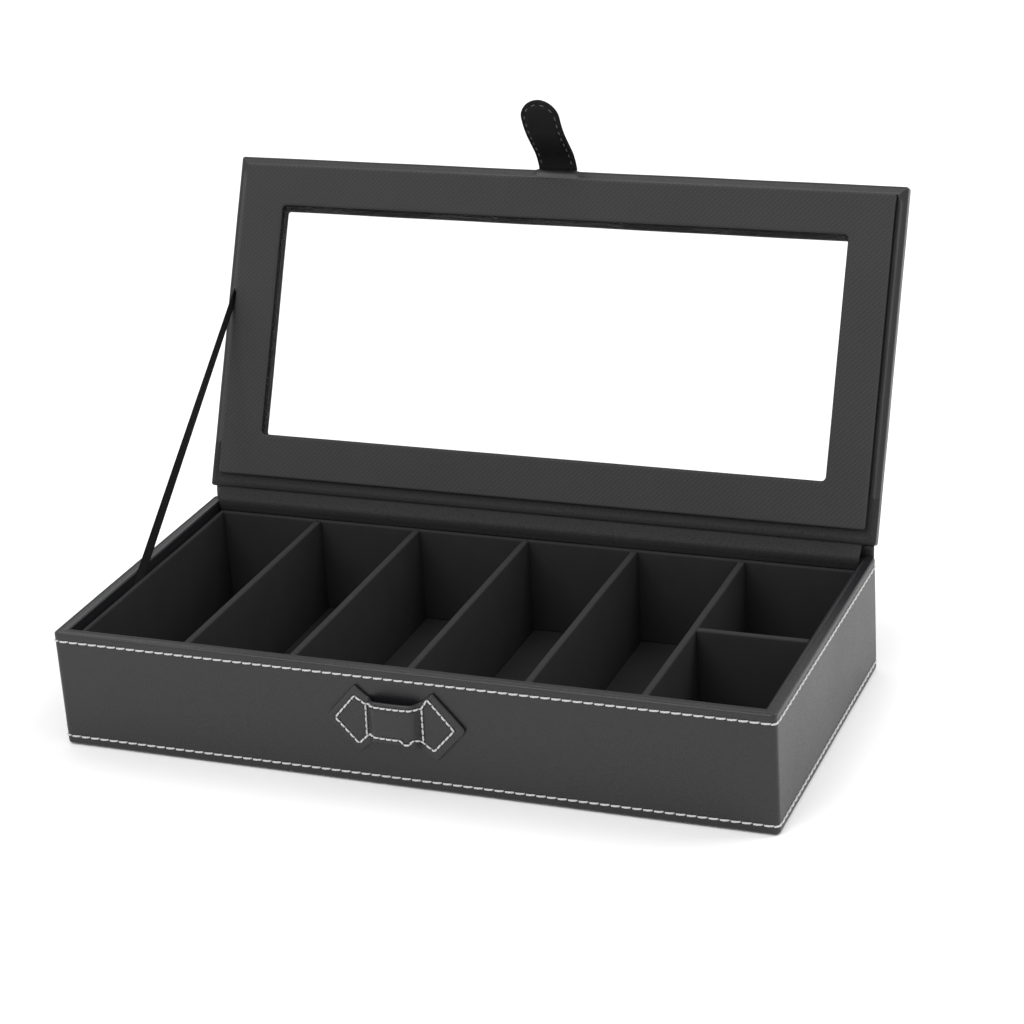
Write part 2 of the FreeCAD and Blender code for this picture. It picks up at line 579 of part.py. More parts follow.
sections = [ribbon_section(tail_end, square * half_ribbon), ribbon_section(clear_rim, square * half_ribbon),
            ribbon_section(lid_end, lid_line * skew)]
hold("ribbon_stay", Part.makeLoft(sections, True, True))
doc.recompute()

# Every object has to be up to date and every sub-part a valid solid before any file is written
for item in doc.Objects:
    if "Invalid" in item.State or "Error" in item.State:
        raise RuntimeError(item.Label + " is " + ", ".join(item.State))
parts = [item for item in doc.Objects
         if item.TypeId == "PartDesign::Body" or item.TypeId == "Part::Feature"]
os.makedirs("parts", exist_ok=True)
for item in parts:
    shape = item.Shape
    if shape.isNull() or not shape.isValid() or len(shape.Solids) != 1:
        raise RuntimeError(item.Label + " isn't one valid solid")
for item in parts:
    item.Shape.exportStep("parts/" + item.Label + ".step")
    box = item.Shape.BoundBox
    print("%-18s %9.1f mm3  x %7.2f %7.2f  y %7.2f %7.2f  z %7.2f %7.2f" % (
        item.Label, item.Shape.Volume, box.XMin, box.XMax, box.YMin, box.YMax, box.ZMin, box.ZMax))
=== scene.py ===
import bmesh
import bpy
import numpy as np
from mathutils import Matrix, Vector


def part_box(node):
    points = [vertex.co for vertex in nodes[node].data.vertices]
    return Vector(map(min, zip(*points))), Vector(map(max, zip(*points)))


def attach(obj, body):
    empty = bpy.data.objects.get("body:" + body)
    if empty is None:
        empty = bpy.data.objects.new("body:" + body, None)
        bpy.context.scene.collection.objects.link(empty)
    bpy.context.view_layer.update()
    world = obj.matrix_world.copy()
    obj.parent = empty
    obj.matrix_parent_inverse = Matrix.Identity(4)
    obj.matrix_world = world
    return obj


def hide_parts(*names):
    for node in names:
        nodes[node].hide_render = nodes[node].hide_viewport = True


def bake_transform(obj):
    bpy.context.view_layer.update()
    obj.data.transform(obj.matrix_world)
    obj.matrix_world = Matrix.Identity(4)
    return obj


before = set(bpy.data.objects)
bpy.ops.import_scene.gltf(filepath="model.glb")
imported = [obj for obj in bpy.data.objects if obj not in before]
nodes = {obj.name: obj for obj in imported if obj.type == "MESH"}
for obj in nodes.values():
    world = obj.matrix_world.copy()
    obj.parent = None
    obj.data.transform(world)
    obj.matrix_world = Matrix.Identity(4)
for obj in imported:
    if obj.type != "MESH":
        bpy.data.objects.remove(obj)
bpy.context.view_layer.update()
mm = 0.001


# Card cores: five boards make the tray and one frame makes the lid. They are pressed grey board,
# glued edge to edge, and the leather covers all but a little of them.
class Value:
    """A socket of a material's nodes. Arithmetic on values adds Math nodes."""

    def __init__(self, finish, socket):
        self.finish, self.socket = finish, socket

    def __add__(self, other):
        return self.finish.math("ADD", self, other)

    def __radd__(self, other):
        return self.finish.math("ADD", other, self)

    def __sub__(self, other):
        return self.finish.math("SUBTRACT", self, other)

    def __rsub__(self, other):
        return self.finish.math("SUBTRACT", other, self)

    def __mul__(self, other):
        return self.finish.math("MULTIPLY", self, other)

    def __rmul__(self, other):
        return self.finish.math("MULTIPLY", other, self)

    def __truediv__(self, other):
        return self.finish.math("DIVIDE", self, other)

    def __rtruediv__(self, other):
        return self.finish.math("DIVIDE", other, self)

    def __lt__(self, other):
        return self.finish.math("LESS_THAN", self, other)

    def __gt__(self, other):
        return self.finish.math("GREATER_THAN", self, other)


class Finish:
    """One material. Numbers that are the same all over stand on the shader's own sockets."""

    def __init__(self, name, **shader):
        self.material = bpy.data.materials.new(name)
        self.material.use_nodes = True
        self.tree = self.material.node_tree
        self.shader = self.tree.nodes["Principled BSDF"]
        self.set(**shader)

    def feed(self, socket, value):
        """Links a value to a socket, or sets a number or colour on it."""
        if isinstance(value, Value):
            self.tree.links.new(value.socket, socket)
        else:
            socket.default_value = value

    def socket(self, sockets, key):
        """A node's socket by its number, or the first one in use that has the name."""
        if isinstance(key, int):
            return sockets[key]
        return next(s for s in sockets if s.name == key and s.enabled)

    def node(self, kind, settings, values, output=0):
        """Adds a node: first its settings, then the values or links of its sockets."""
        node = self.tree.nodes.new("ShaderNode" + kind)
        for key, value in settings.items():
            setattr(node, key, value)
        for key, value in values.items():
            self.feed(self.socket(node.inputs, key), value)
        return Value(self, self.socket(node.outputs, output))

    def math(self, operation, *values):
        return self.node("Math", {"operation": operation}, dict(enumerate(values)))

    def place(self, kind="Object"):
        return self.node("TexCoord", {}, {}, kind)

    def noise(self, where, scale, detail, output="Fac"):
        return self.node("TexNoise", {}, {"Vector": where, "Scale": scale, "Detail": detail}, output)

    def mix(self, share, dark, pale):
        """A colour between a dark and a pale one, by a share from 0 to 1."""
        return self.node("Mix", {"data_type": "RGBA"},
                         {"Factor": share, "A": (*dark, 1.0), "B": (*pale, 1.0)}, "Result")

    def bump(self, height, depth, strength):
        return self.node("Bump", {}, {"Height": height, "Distance": depth, "Strength": strength}, "Normal")

    def set(self, **sockets):
        for key, value in sockets.items():
            self.feed(self.shader.inputs[key.replace("_", " ")], value)


def cover(node, finish):
    """Gives a solid of the CAD model its finish."""
    nodes[node].data.materials.clear()
    nodes[node].data.materials.append(finish.material)


board = Finish("grey_board", Roughness=0.85)
board_fibre = board.noise(board.place(), 900.0, 4.0)
board_fleck = board.noise(board.place(), 160.0, 2.0)
board.set(Base_Color=board.mix(board_fibre * 0.6 + board_fleck * 0.4, dark=(0.20, 0.19, 0.175),
                               pale=(0.34, 0.33, 0.30)),
          Normal=board.bump(board_fibre, 0.1 * mm, 0.5))
for name in ("front_board", "back_board", "left_board", "right_board", "base_board", "lid_board"):
    cover(name, board)


# Tray leather: black imitation leather with a fine pebble grain, 0.8 mm thick, wrapped from under the
# base over the walls and the rim and 18 mm down inside. Its rim sinks a little between two firm edges.
tray_length, tray_depth, tray_height = 355.0 * mm, 172.0 * mm, 59.5 * mm
tray_corner, rim_radius, foot_radius = 2.4 * mm, 1.3 * mm, 1.1 * mm
wall_thick, leather_thick, skin_depth = 6.0 * mm, 0.8 * mm, 0.76 * mm
inside_foot, under_level, turned_in = 41.5 * mm, 0.6 * mm, 12.0 * mm
stitch_heights, stitch_pitch = (55.0 * mm, 4.9 * mm), 5.07 * mm
skin_steps = (280, 136)


def leather_finish(name, colour, crease, roughness, specular=0.47, place="Object"):
    """Imitation leather: rounded cells about 1 mm wide between fine creases, with smaller pores on them. The
    creases take the darker colour as painted shade.
    """
    leather = Finish(name, Specular_IOR_Level=specular)
    where = leather.place(place)
    drift = leather.noise(where, 420.0, 2.0, "Color")
    bent = leather.node("VectorMath", {"operation": "MULTIPLY_ADD"},
                        {0: drift, 1: (0.9 * mm,) * 3, 2: where}, "Vector")
    cells = leather.node("TexVoronoi", {"feature": "DISTANCE_TO_EDGE"},
                         {"Vector": bent, "Scale": 980.0}, "Distance")
    pores = leather.node("TexVoronoi", {"feature": "SMOOTH_F1"},
                         {"Vector": bent, "Scale": 2600.0, "Smoothness": 0.6}, "Distance")
    pebble = leather.math("MINIMUM", cells * 5.0, 1.0)
    cloud = leather.noise(where, 30.0, 3.0)
    leather.set(
        # Painted shade in the grain: the colour falls to the crease colour towards each cell's edge.
        Base_Color=leather.mix(pebble * 0.75 + cloud * 0.25, crease, colour),
        Roughness=roughness + 0.12 - pebble * 0.12 + (cloud - 0.5) * 0.10,
        Normal=leather.bump(pebble * 0.75 + pores * 0.25, 0.07 * mm, 0.55))
    return leather


def placed(name, data):
    """Puts a mesh, light or camera into the scene as an object of that name."""
    item = bpy.data.objects.new(name, data)
    bpy.context.scene.collection.objects.link(item)
    return item


def grid_piece(name, points, wraps, spread, finishes, which=0):
    """A smooth mesh through grids of points, shaped (grids, rows, columns, 3), with a face between each four.

    wraps says whether rows and columns close on themselves, spread holds each corner's cloth coordinates, and
    which gives each face the number of its finish in the list. Points that meet are welded, and the faces are
    turned outwards by the sign of the enclosed volume.
    """
    points = np.asarray(points, float)
    points = points[None] if points.ndim == 3 else points
    grids, rows, columns, _ = points.shape
    i, j = np.meshgrid(np.arange(rows - 1 + wraps[0]), np.arange(columns - 1 + wraps[1]), indexing="ij")
    corners = [(i, j), (i, j + 1), (i + 1, j + 1), (i + 1, j)]
    one = np.stack([(a % rows) * columns + b % columns for a, b in corners], -1).reshape(-1, 4)
    faces = (one[None] + (np.arange(grids) * rows * columns)[:, None, None]).reshape(-1, 4)
    mesh = bpy.data.meshes.new(name)
    mesh.vertices.add(points.size // 3)
    mesh.vertices.foreach_set("co", points.astype(np.float32).ravel())
    mesh.loops.add(faces.size)
    mesh.loops.foreach_set("vertex_index", faces.astype(np.int32).ravel())
    mesh.polygons.add(len(faces))
    mesh.polygons.foreach_set("loop_start", np.arange(0, faces.size, 4, dtype=np.int32))
    mesh.polygons.foreach_set("use_smooth", np.ones(len(faces), bool))
    laid = np.stack([spread[a, b] for a, b in corners], -2).reshape(-1, 2)
    laid = np.tile(laid, (grids, 1)).astype(np.float32)
    mesh.uv_layers.new(name="Lay").data.foreach_set("uv", laid.ravel())
    number = np.broadcast_to(which, i.shape).astype(np.int32)
    mesh.polygons.foreach_set("material_index", np.tile(number.ravel(), grids))
    mesh.update(calc_edges=True)
    solid = bmesh.new()
    solid.from_mesh(mesh)
    bmesh.ops.remove_doubles(solid, verts=solid.verts, dist=0.001 * mm)
    if solid.calc_volume(signed=True) < 0:
        bmesh.ops.reverse_faces(solid, faces=solid.faces)
    solid.to_mesh(mesh)
    solid.free()
    for finish in finishes:
        mesh.materials.append(finish.material)
    return placed(name, mesh)


def bend(middle, radius, start, end, count):
    """Points of an arc in a wall's section: middle plus radius times (cosine, sine) of the angle."""
    angle = np.radians(np.linspace(start, end, count))
    return np.stack([middle[0] + radius * np.cos(angle), middle[1] + radius * np.sin(angle)], 1)


def straight(first, last, count):
    """Points between two points of a section, without its ends."""
    share = np.linspace(0, 1, count + 2)[1:-1, None]
    return np.array(first) + (np.array(last) - np.array(first)) * share


def ring(left, right, front, back, radius, height, steps, turn=5):
    """Rounded rectangles, one for each entry of the arrays, each at its height.

    A corner is its centre plus radius times (cosine, sine) of the angle, and a side is straight between two
    corners, in equal steps.
    """
    left, right, front, back, radius, height = np.broadcast_arrays(
        *(np.atleast_1d(item) for item in (left, right, front, back, radius, height)))
    arcs = []
    for x, y, start in ((right - radius, front + radius, -90), (right - radius, back - radius, 0),
                        (left + radius, back - radius, 90), (left + radius, front + radius, 180)):
        angle = np.radians(start + np.linspace(0, 90, turn + 1))
        arcs.append(np.stack([x[:, None] + radius[:, None] * np.cos(angle),
                              y[:, None] + radius[:, None] * np.sin(angle)], -1))
    lines = []
    for k, number in enumerate((steps[1], steps[0], steps[1], steps[0])):
        share = np.arange(1, number)[None, :, None] / number
        first, last = arcs[k][:, -1:], arcs[(k + 1) % 4][:, :1]
        lines += [arcs[k], first + (last - first) * share]
    flat = np.concatenate(lines, 1)
    tall = np.broadcast_to(height[:, None, None], (*flat.shape[:2], 1))
    return np.concatenate([flat, tall], -1)


def lengths(points, axis):
    """Distance along a closed grid, from its first row or column back to it, in the longest steps there."""
    step = np.linalg.norm(np.roll(points, -1, axis) - points, axis=-1).max(1 - axis)
    return np.concatenate([[0.0], np.cumsum(step)])


def unit(vectors):
    """Vectors made 1 long: each divided by its length."""
    return vectors / np.maximum(np.linalg.norm(vectors, axis=-1, keepdims=True), 1e-12)


def raised(points, amount, sense=1):
    """A grid that closes both ways, moved outwards along its normals: the cross product of the differences
    between neighbours. The sense is -1 where its rows run from the inside over the top to the outside."""
    across = np.roll(points, -1, 0) - np.roll(points, 1, 0)
    along = np.roll(points, -1, 1) - np.roll(points, 1, 1)
    return points + unit(np.cross(along, across)) * (sense * amount)[..., None]


def together(*parts):
    """Arrays spread to one shape and stacked as the coordinates of each point."""
    return np.stack(np.broadcast_arrays(*parts), -1)


def cloth(points):
    """Cloth coordinates of a grid that closes both ways: distances along its rows and its columns."""
    return together(lengths(points, 1)[None], lengths(points, 0)[:, None])


def sway(points, size, seed):
    """A slow unevenness: the sum of four sine waves of the place, 30 to 110 mm long, from a fixed seed."""
    chance = np.random.default_rng(seed)
    turns = unit(chance.normal(size=(4, 3)))
    turns *= 2 * np.pi / (chance.uniform(30, 110, (4, 1)) * mm)
    return size * np.sin(points @ turns.T + chance.uniform(0, 6.3, 4)).mean(-1)


def valley(distance, width):
    """1 along a line and falling to 0 beside it, as a bell curve of the distance."""
    return np.exp(-(distance / width) ** 2)


def wall_ring(grown, height):
    """The tray's outline, grown outwards by an amount, at a height."""
    long, deep = tray_length / 2 + grown, tray_depth / 2 + grown
    return ring(-long, long, -deep, deep, np.maximum(tray_corner + grown, 0.4 * mm), height, skin_steps)


def run_of(line):
    """Distance along a line of points from its first: the running sum of the steps between neighbours."""
    return np.concatenate([[0.0], np.cumsum(np.linalg.norm(np.diff(line, axis=0), axis=1))])


def even_marks(line, pitch, first=0.0):
    """Distances of stitch middles along a closed line, in a whole number of equal steps, and the beat of each
    point, which is a whole number at a stitch's middle."""
    run = run_of(np.concatenate([line, line[:1]]))
    number = round(run[-1] / pitch)
    return first + run[-1] * np.arange(number) / number, (run[:-1] - first) * number / run[-1]


def thread_bed(gap, beat):
    """Depth that stitches press into leather: a bell curve of the gap to their line, five times as deep
    between two stitches as under a stitch's middle."""
    return 0.30 * mm * valley(gap, 0.8 * mm)[:, None] * (0.6 - 0.4 * np.cos(2 * np.pi * beat))[None]


wall_rows = mm * np.concatenate([
    np.linspace(58.0, 56.6, 3), np.linspace(56.2, 53.8, 9), np.linspace(53.0, 7.0, 10),
    np.linspace(6.1, 3.7, 9), np.linspace(3.2, 2.0, 3)])
glued_rows = [(-turned_in, under_level), (-turned_in, under_level + skin_depth),
              (-leather_thick, under_level + skin_depth), (-leather_thick, tray_height - skin_depth),
              (leather_thick - wall_thick, tray_height - skin_depth),
              (leather_thick - wall_thick, inside_foot), (-wall_thick, inside_foot)]
tray_section = np.concatenate([
    straight((-wall_thick, inside_foot), (-wall_thick, tray_height - rim_radius), 4),
    bend((rim_radius - wall_thick, tray_height - rim_radius), rim_radius, 180, 90, 7),
    straight((rim_radius - wall_thick, tray_height), (-rim_radius, tray_height), 11),
    bend((-rim_radius, tray_height - rim_radius), rim_radius, 90, 0, 7),
    np.stack([0 * wall_rows, wall_rows], 1),
    bend((-foot_radius, under_level + foot_radius), foot_radius, 0, -90, 6),
    straight((-foot_radius, under_level), (-turned_in, under_level), 3),
    glued_rows,
])
out, rise = tray_section.T
tray_skin = wall_ring(out, rise)
wall_line = wall_ring(0.0, 0.0)[0]
wall_marks, wall_beat = even_marks(wall_line, stitch_pitch, tray_corner * np.pi / 4)
outer_face = (np.abs(out) < 0.1 * mm)[:, None]
bed = sum(thread_bed(rise - height, wall_beat) for height in stitch_heights) * outer_face
across_rim = np.abs(out + wall_thick / 2) / (wall_thick / 2 - 0.75 * mm)
groove = 0.50 * mm * (rise > 59.0 * mm) * np.clip(1 - across_rim ** 4, 0, 1)
seen = (np.arange(len(out)) < len(out) - len(glued_rows))[:, None]
tray_skin = raised(tray_skin, sway(tray_skin, 0.10 * mm, 3) * seen - bed - groove[:, None], -1)
black_leather = leather_finish("black_leather", (0.0105, 0.0105, 0.0122), (0.0045, 0.0045, 0.0055), 0.33)
tray_leather = grid_piece("tray_leather", tray_skin, (True, True), cloth(tray_skin), [black_leather])
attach(tray_leather, "tray")
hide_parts("outer_leather")


# Wall stitching: one row of thick off-white polyester thread near the rim and one near the foot, all round.
# Each stitch shows 4.8 mm of thread that dives into the leather at both ends.
def thread_finish(name, light, dark):
    """Twisted thread: three strands that run slantwise round it, darker between them as painted shade."""
    thread = Finish(name, Roughness=0.6, Sheen_Weight=0.2)
    around = thread.node("SeparateXYZ", {}, {0: thread.place("UV")}, "X")
    along = thread.node("SeparateXYZ", {}, {0: thread.place("UV")}, "Y")
    strand = thread.math("SINE", (around * 3.0 + along * 5.0) * (2 * np.pi)) * 0.5 + 0.5
    # Painted shade: the colour falls to the dark one in the grooves between the strands.
    thread.set(Base_Color=thread.mix(strand, dark, light), Normal=thread.bump(strand, 0.12 * mm, 0.6))
    return thread


def stitches(name, line, normals, marks, finish, long=4.8 * mm, radius=0.48 * mm, slant=4.0, closed=False):
    """A small bent rod of thread at each mark, a distance along a line of points with normals.

    A point of the rod is the line's point there, moved aside by the slant, plus the radius times (cosine,
    sine) of the angle round it. The radius shrinks to nothing at both ends, and the rod sinks there by the
    fourth power of the share from its middle. A closed line is carried on past its start for its last ones.
    """
    if closed:
        line, normals = (np.concatenate([item, item[:len(item) // 8]]) for item in (line, normals))
    run = run_of(line)
    share = np.array([-1.0, -0.95, -0.72, -0.28, 0.28, 0.72, 0.95, 1.0])
    thick = radius * np.array([0.0, 0.70, 0.98, 1.06, 1.06, 0.98, 0.70, 0.0])
    place = marks[:, None] + share * long / 2

    def along(values):
        """The line's values at every place of the rods, in straight steps between its points."""
        return np.stack([np.interp(place, run, column) for column in values.T], -1)

    ahead, above = unit(along(np.gradient(line, axis=0))), unit(along(normals))
    side = np.cross(above, ahead)
    lift = radius * (0.62 - 1.3 * share ** 4)
    core = along(line) + above * lift[:, None]
    core += side * (np.sin(np.radians(slant)) * share * long / 2)[:, None]
    angle = np.linspace(0, 2 * np.pi, 7)[:-1]
    round_it = side[:, :, None] * np.cos(angle)[:, None] + above[:, :, None] * np.sin(angle)[:, None]
    points = core[:, :, None] + round_it * thick[:, None, None]
    spread = together(np.linspace(0, 1, 7)[None], np.linspace(0, 1, 8)[:, None])
    return grid_piece(name, points, (False, True), spread, [finish])


white_thread = thread_finish("white_thread", (0.66, 0.66, 0.65), (0.34, 0.34, 0.34))
wall_out = unit(wall_ring(mm, 0.0)[0] - wall_line)
thread_sunk = 0.14 * mm
for name, height in zip(("upper_wall_stitching", "lower_wall_stitching"), stitch_heights):
    row = stitches(name, wall_line - wall_out * thread_sunk + (0, 0, height), wall_out, wall_marks,
                   white_thread, closed=True)
    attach(row, "tray")


# Bottom cover: a thin black felted sheet of short matted fibres. It is glued under the base, over the
# turned-in edges of the leather.
felt = Finish("black_felt", Roughness=0.95, Sheen_Weight=0.15)
felt_fibre = felt.noise(felt.place(), 1500.0, 5.0)
felt_cloud = felt.noise(felt.place(), 90.0, 3.0)
felt.set(Base_Color=felt.mix(felt_fibre * 0.5 + felt_cloud * 0.5, dark=(0.008, 0.008, 0.009),
                             pale=(0.035, 0.035, 0.036)),
         Normal=felt.bump(felt_fibre, 0.2 * mm, 0.8))
cover("bottom_cover", felt)


# Insert: thin card walls and dividers wrapped in black suede paper, standing on a suede-covered floor.
# The suede is folded over the top edges, so these are round, and the faces are a little uneven.
fold_radius = 0.9 * mm
# Painted highlight: the suede turns paler from this height upwards, over this reach, onto the folded top
# edges.
painted_top_light_level, painted_top_light_reach = 53.6 * mm, 0.7 * mm


def suede_finish(name, pale, dark):
    """Suede: short dense nap, with soft strokes where it lies differently, and a painted highlight that makes
    it paler on the top edges.
    """
    suede = Finish(name, Roughness=0.92, Specular_IOR_Level=0.06)
    where = suede.place()
    nap = suede.noise(where, 2200.0, 4.0)
    stroke = suede.noise(where, 70.0, 4.0)
    height = suede.node("SeparateXYZ", {}, {0: where}, "Z")
    # Painted highlight: 0 below the level and 1 on the top edges, mixed into the suede's colour.
    painted_top_light = suede.math("MINIMUM", suede.math("MAXIMUM", (height - painted_top_light_level) / painted_top_light_reach, 0.0), 1.0)
    suede.set(Base_Color=suede.mix(nap * 0.4 + stroke * 0.3 + painted_top_light * 0.25, dark, pale),
              Roughness=0.85 + nap * 0.12,
              Normal=suede.bump(nap * 0.7 + stroke * 0.3, 0.16 * mm, 0.7))
    return suede


black_suede = suede_finish("black_suede", (0.0395, 0.0395, 0.0403), (0.0168, 0.0168, 0.0175))


def suede_card(node, seed):
    """A covered card in the place of a node: rounded rectangles from its foot to its top, drawn in to a line
    at both. The top edge is a quarter of a circle on each side, and the faces sway across their thickness."""
    low, high = (np.array(corner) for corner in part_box(node))
    wide = high - low
    thin = 0 if wide[0] < wide[1] else 1
    half = wide[thin] / 2
    quarter = np.radians([0, 22, 45, 68, 90])
    level = np.concatenate([[0, 0, 0.6 * mm], np.linspace(1.5 * mm, wide[2] - 1.4 * mm, 12),
                            wide[2] - fold_radius + fold_radius * np.sin(quarter), [wide[2]]])
    inset = np.zeros_like(level)
    inset[-6:-1] = fold_radius * (1 - np.cos(quarter))
    inset[0] = inset[-1] = half
    inset_long = np.minimum(inset, fold_radius) * 0.4
    by_axis = [inset, inset_long] if thin == 0 else [inset_long, inset]
    steps = [3, 3]
    steps[1 - thin] = max(8, int(wide[1 - thin] / (3 * mm)))
    radius = np.minimum(0.5 * mm, half - inset).clip(0)
    skin = ring(low[0] + by_axis[0], high[0] - by_axis[0], low[1] + by_axis[1], high[1] - by_axis[1],
                radius, low[2] + level, steps, 3)
    bow = sway(skin, 0.16 * mm, seed) * (level > 0)[:, None] * (inset < 0.8 * half)[:, None]
    skin[..., thin] += bow
    skin[..., 2] += 0.5 * sway(skin, 0.12 * mm, seed + 50) * (level > wide[2] / 2)[:, None]
    card = grid_piece("suede_" + node, skin, (False, True), cloth(skin)[:-1], [black_suede])
    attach(card, "tray")
    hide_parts(node)


insert_cards = ["insert_front_wall", "insert_back_wall", "insert_left_wall", "insert_right_wall", "divider_1",
                "divider_2", "divider_3", "divider_4", "divider_5", "cross_divider"]
for seed, node in enumerate(insert_cards):
    suede_card(node, seed)
cover("floor_pad", black_suede)


# Keeper: a bow-tie shaped leather strap, sewn flat on the front wall at both ends. Its middle stands off
# as a loop for the tongue, nearer to the wall at the top. Near-continuous stitches run all round inside its
# edge and across each foot, and one of them hangs slack below the band.
keeper_middle = np.array([-2.0, -86.0, 33.9]) * mm
keeper_thick, keeper_reach = 1.4 * mm, 34.5 * mm
band_top, band_foot = 11.6 * mm, 8.4 * mm
keeper_runs = np.array([(20.9, 0), (1.937, 74), (3.54, 0), (3.040, -67), (17.02, -14), (3.040, -67),
                        (3.54, 0), (1.937, 74), (20.9, 0)], float)
keeper_outline = [(-30.0, -0.5), (-19.6, 11.6), (-14.2, 8.1), (-10.6, 9.2), (10.8, 9.2), (13.4, 9.0),
                  (16.7, 13.9), (28.8, -0.4), (18.3, -12.0), (12.6, -7.9), (10.6, -6.1), (8.8, -6.0),
                  (8.4, -7.9), (5.0, -7.9), (4.6, -6.0), (-10.6, -6.0), (-14.7, -8.2), (-19.0, -12.5),
                  (-30.0, -0.5)]
keeper_feet = [[(-14.1, 8.1), (-14.7, -8.1)], [(13.5, 9.0), (12.8, -7.9)]]


def follow(runs, start, heading, count):
    """Places and headings along runs of (length, turn in degrees): the heading changes evenly over each run,
    and the place is the running sum of (cosine, sine) of the heading."""
    bounds = np.concatenate([[0.0], np.cumsum(runs[:, 0])])
    turned = np.concatenate([[heading], heading + np.cumsum(runs[:, 1])])
    fine = np.linspace(0, bounds[-1], 4001)
    angle = np.radians(np.interp((fine[1:] + fine[:-1]) / 2, bounds, turned))
    step = np.diff(fine)
    across = start[0] + np.concatenate([[0.0], np.cumsum(np.cos(angle) * step)])
    up = start[1] + np.concatenate([[0.0], np.cumsum(np.sin(angle) * step)])
    along = np.linspace(0, bounds[-1], count)
    return along, np.interp(along, fine, across), np.interp(along, fine, up), np.radians(
        np.interp(along, bounds, turned))


def nearest(lines, across, up):
    """Distance from points to the nearest of some lines: to the foot of the perpendicular on each side."""
    best = np.full(np.broadcast(across, up).shape, 1.0)
    for line in lines:
        line = np.array(line, float) * mm
        for first, last in zip(line[:-1], line[1:]):
            way = last - first
            share = ((across - first[0]) * way[0] + (up - first[1]) * way[1]) / (way @ way)
            share = np.clip(share, 0, 1)
            gap = np.hypot(across - first[0] - share * way[0], up - first[1] - share * way[1])
            best = np.minimum(best, gap)
    return best


def strap_section(top, foot, thick, count, edge):
    """Cross-sections of a strap that reaches top and foot to its two sides: flat faces, and edges that are
    half ellipses, as deep as half the thickness or the width. Gives places across it and through it."""
    half, middle = (top + foot) / 2, (top - foot) / 2
    angle = np.radians(np.linspace(-90, 90, 2 * edge + 1))
    round_edge = np.minimum(thick / 2, half)[:, None]
    right_x = half[:, None] - round_edge + round_edge * np.cos(angle)
    right_z = np.broadcast_to(thick / 2 * np.sin(angle), right_x.shape)
    share = np.cos(np.linspace(0, np.pi, count))[1:-1]
    flat_x = (half[:, None] - round_edge) * share
    flat_z = np.broadcast_to(np.full(count - 2, thick / 2), flat_x.shape)
    across = np.concatenate([right_x, flat_x, -right_x[:, ::-1], -flat_x], 1)
    through = np.concatenate([right_z, flat_z, right_z[:, ::-1], -flat_z], 1)
    return across + middle[:, None], through


def soft_least(first, second, width):
    """The smaller of two values, with a rounded change between them."""
    return -width * np.logaddexp(-first / width, -second / width)


strap_along, strap_x, strap_out, _ = follow(keeper_runs * (mm, 1), (-keeper_reach, keeper_thick / 2), 0, 281)
strap_x = strap_x - (strap_x[0] + strap_x[-1]) / 2
# Leather can't bend sharply, so the line off the wall is its own mean over 2.6 mm, and the strap's faces lean
# a little less than the line does.
nearby = np.linspace(-1.3, 1.3, 9)[:, None] * mm
strap_out = np.interp(strap_x + nearby, strap_x, strap_out).mean(0)
strap_lean = 0.9 * np.arctan(np.gradient(strap_out, strap_x))


def bow_tie(band):
    """Reach of the strap's edge from its middle line. It grows from each tip as a hyperbola, falls back along
    a straight barb, and is the band's reach between them, with rounded changes."""
    tip = np.abs(strap_x).max() - np.abs(strap_x)
    arrow = 1.097 * np.sqrt(tip ** 2 + 2 * mm * tip)
    barb = 12.0 * mm + (np.abs(strap_x) - 13.0 * mm) * 0.833
    waist = -soft_least(-barb, -band + 0 * tip, 0.5 * mm)
    return np.maximum(soft_least(arrow, waist, 0.6 * mm), 0.0) * (tip > 0)


def off_wall(x, height):
    """Distance of the strap's middle surface from the wall: the loop's own, times a share that falls evenly
    from the band's foot to its top."""
    share = 0.64 + 0.09 * np.clip((band_top - height) / (band_top + band_foot), 0, 1)
    return keeper_thick / 2 + share * (np.interp(x, strap_x, strap_out) - keeper_thick / 2)


# The outer face swells 0.3 mm inside its edge, and the thread pulls it 0.55 mm in along the seams.
strap_y, strap_n = strap_section(bow_tie(band_top), bow_tie(band_foot), keeper_thick, 44, 5)
top_side = strap_n > keeper_thick * 0.3
edge_gap = np.minimum(bow_tie(band_top)[:, None] - strap_y, strap_y + bow_tie(band_foot)[:, None])
seam_gap = nearest([keeper_outline] + keeper_feet, strap_x[:, None], strap_y)
puff = 0.30 * mm * (1 - np.exp(-edge_gap / (1.2 * mm)))
strap_n = strap_n + top_side * (puff - 0.55 * mm * valley(seam_gap, 0.9 * mm))
lean = strap_lean[:, None]
keeper_skin = keeper_middle + together(strap_x[:, None] - strap_n * np.sin(lean),
                                       -off_wall(strap_x[:, None], strap_y) - strap_n * np.cos(lean), strap_y)
keeper_lay = together(strap_along[:, None], np.linspace(0, 60 * mm, keeper_skin.shape[1] + 1)[None])
strap_leather = leather_finish("strap_leather", (0.0135, 0.0135, 0.0155), (0.006, 0.006, 0.007), 0.34)
keeper = grid_piece("keeper", keeper_skin, (False, True), keeper_lay, [strap_leather])
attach(keeper, "tray")
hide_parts("keeper_strap")


def evened(line):
    """A line of points made smoother: each is the mean of nine neighbours, with the ends repeated."""
    longer = np.concatenate([np.repeat(line[:1], 4, 0), line, np.repeat(line[-1:], 4, 0)])
    return np.stack([np.convolve(axis, np.ones(9) / 9, "valid") for axis in longer.T], 1)


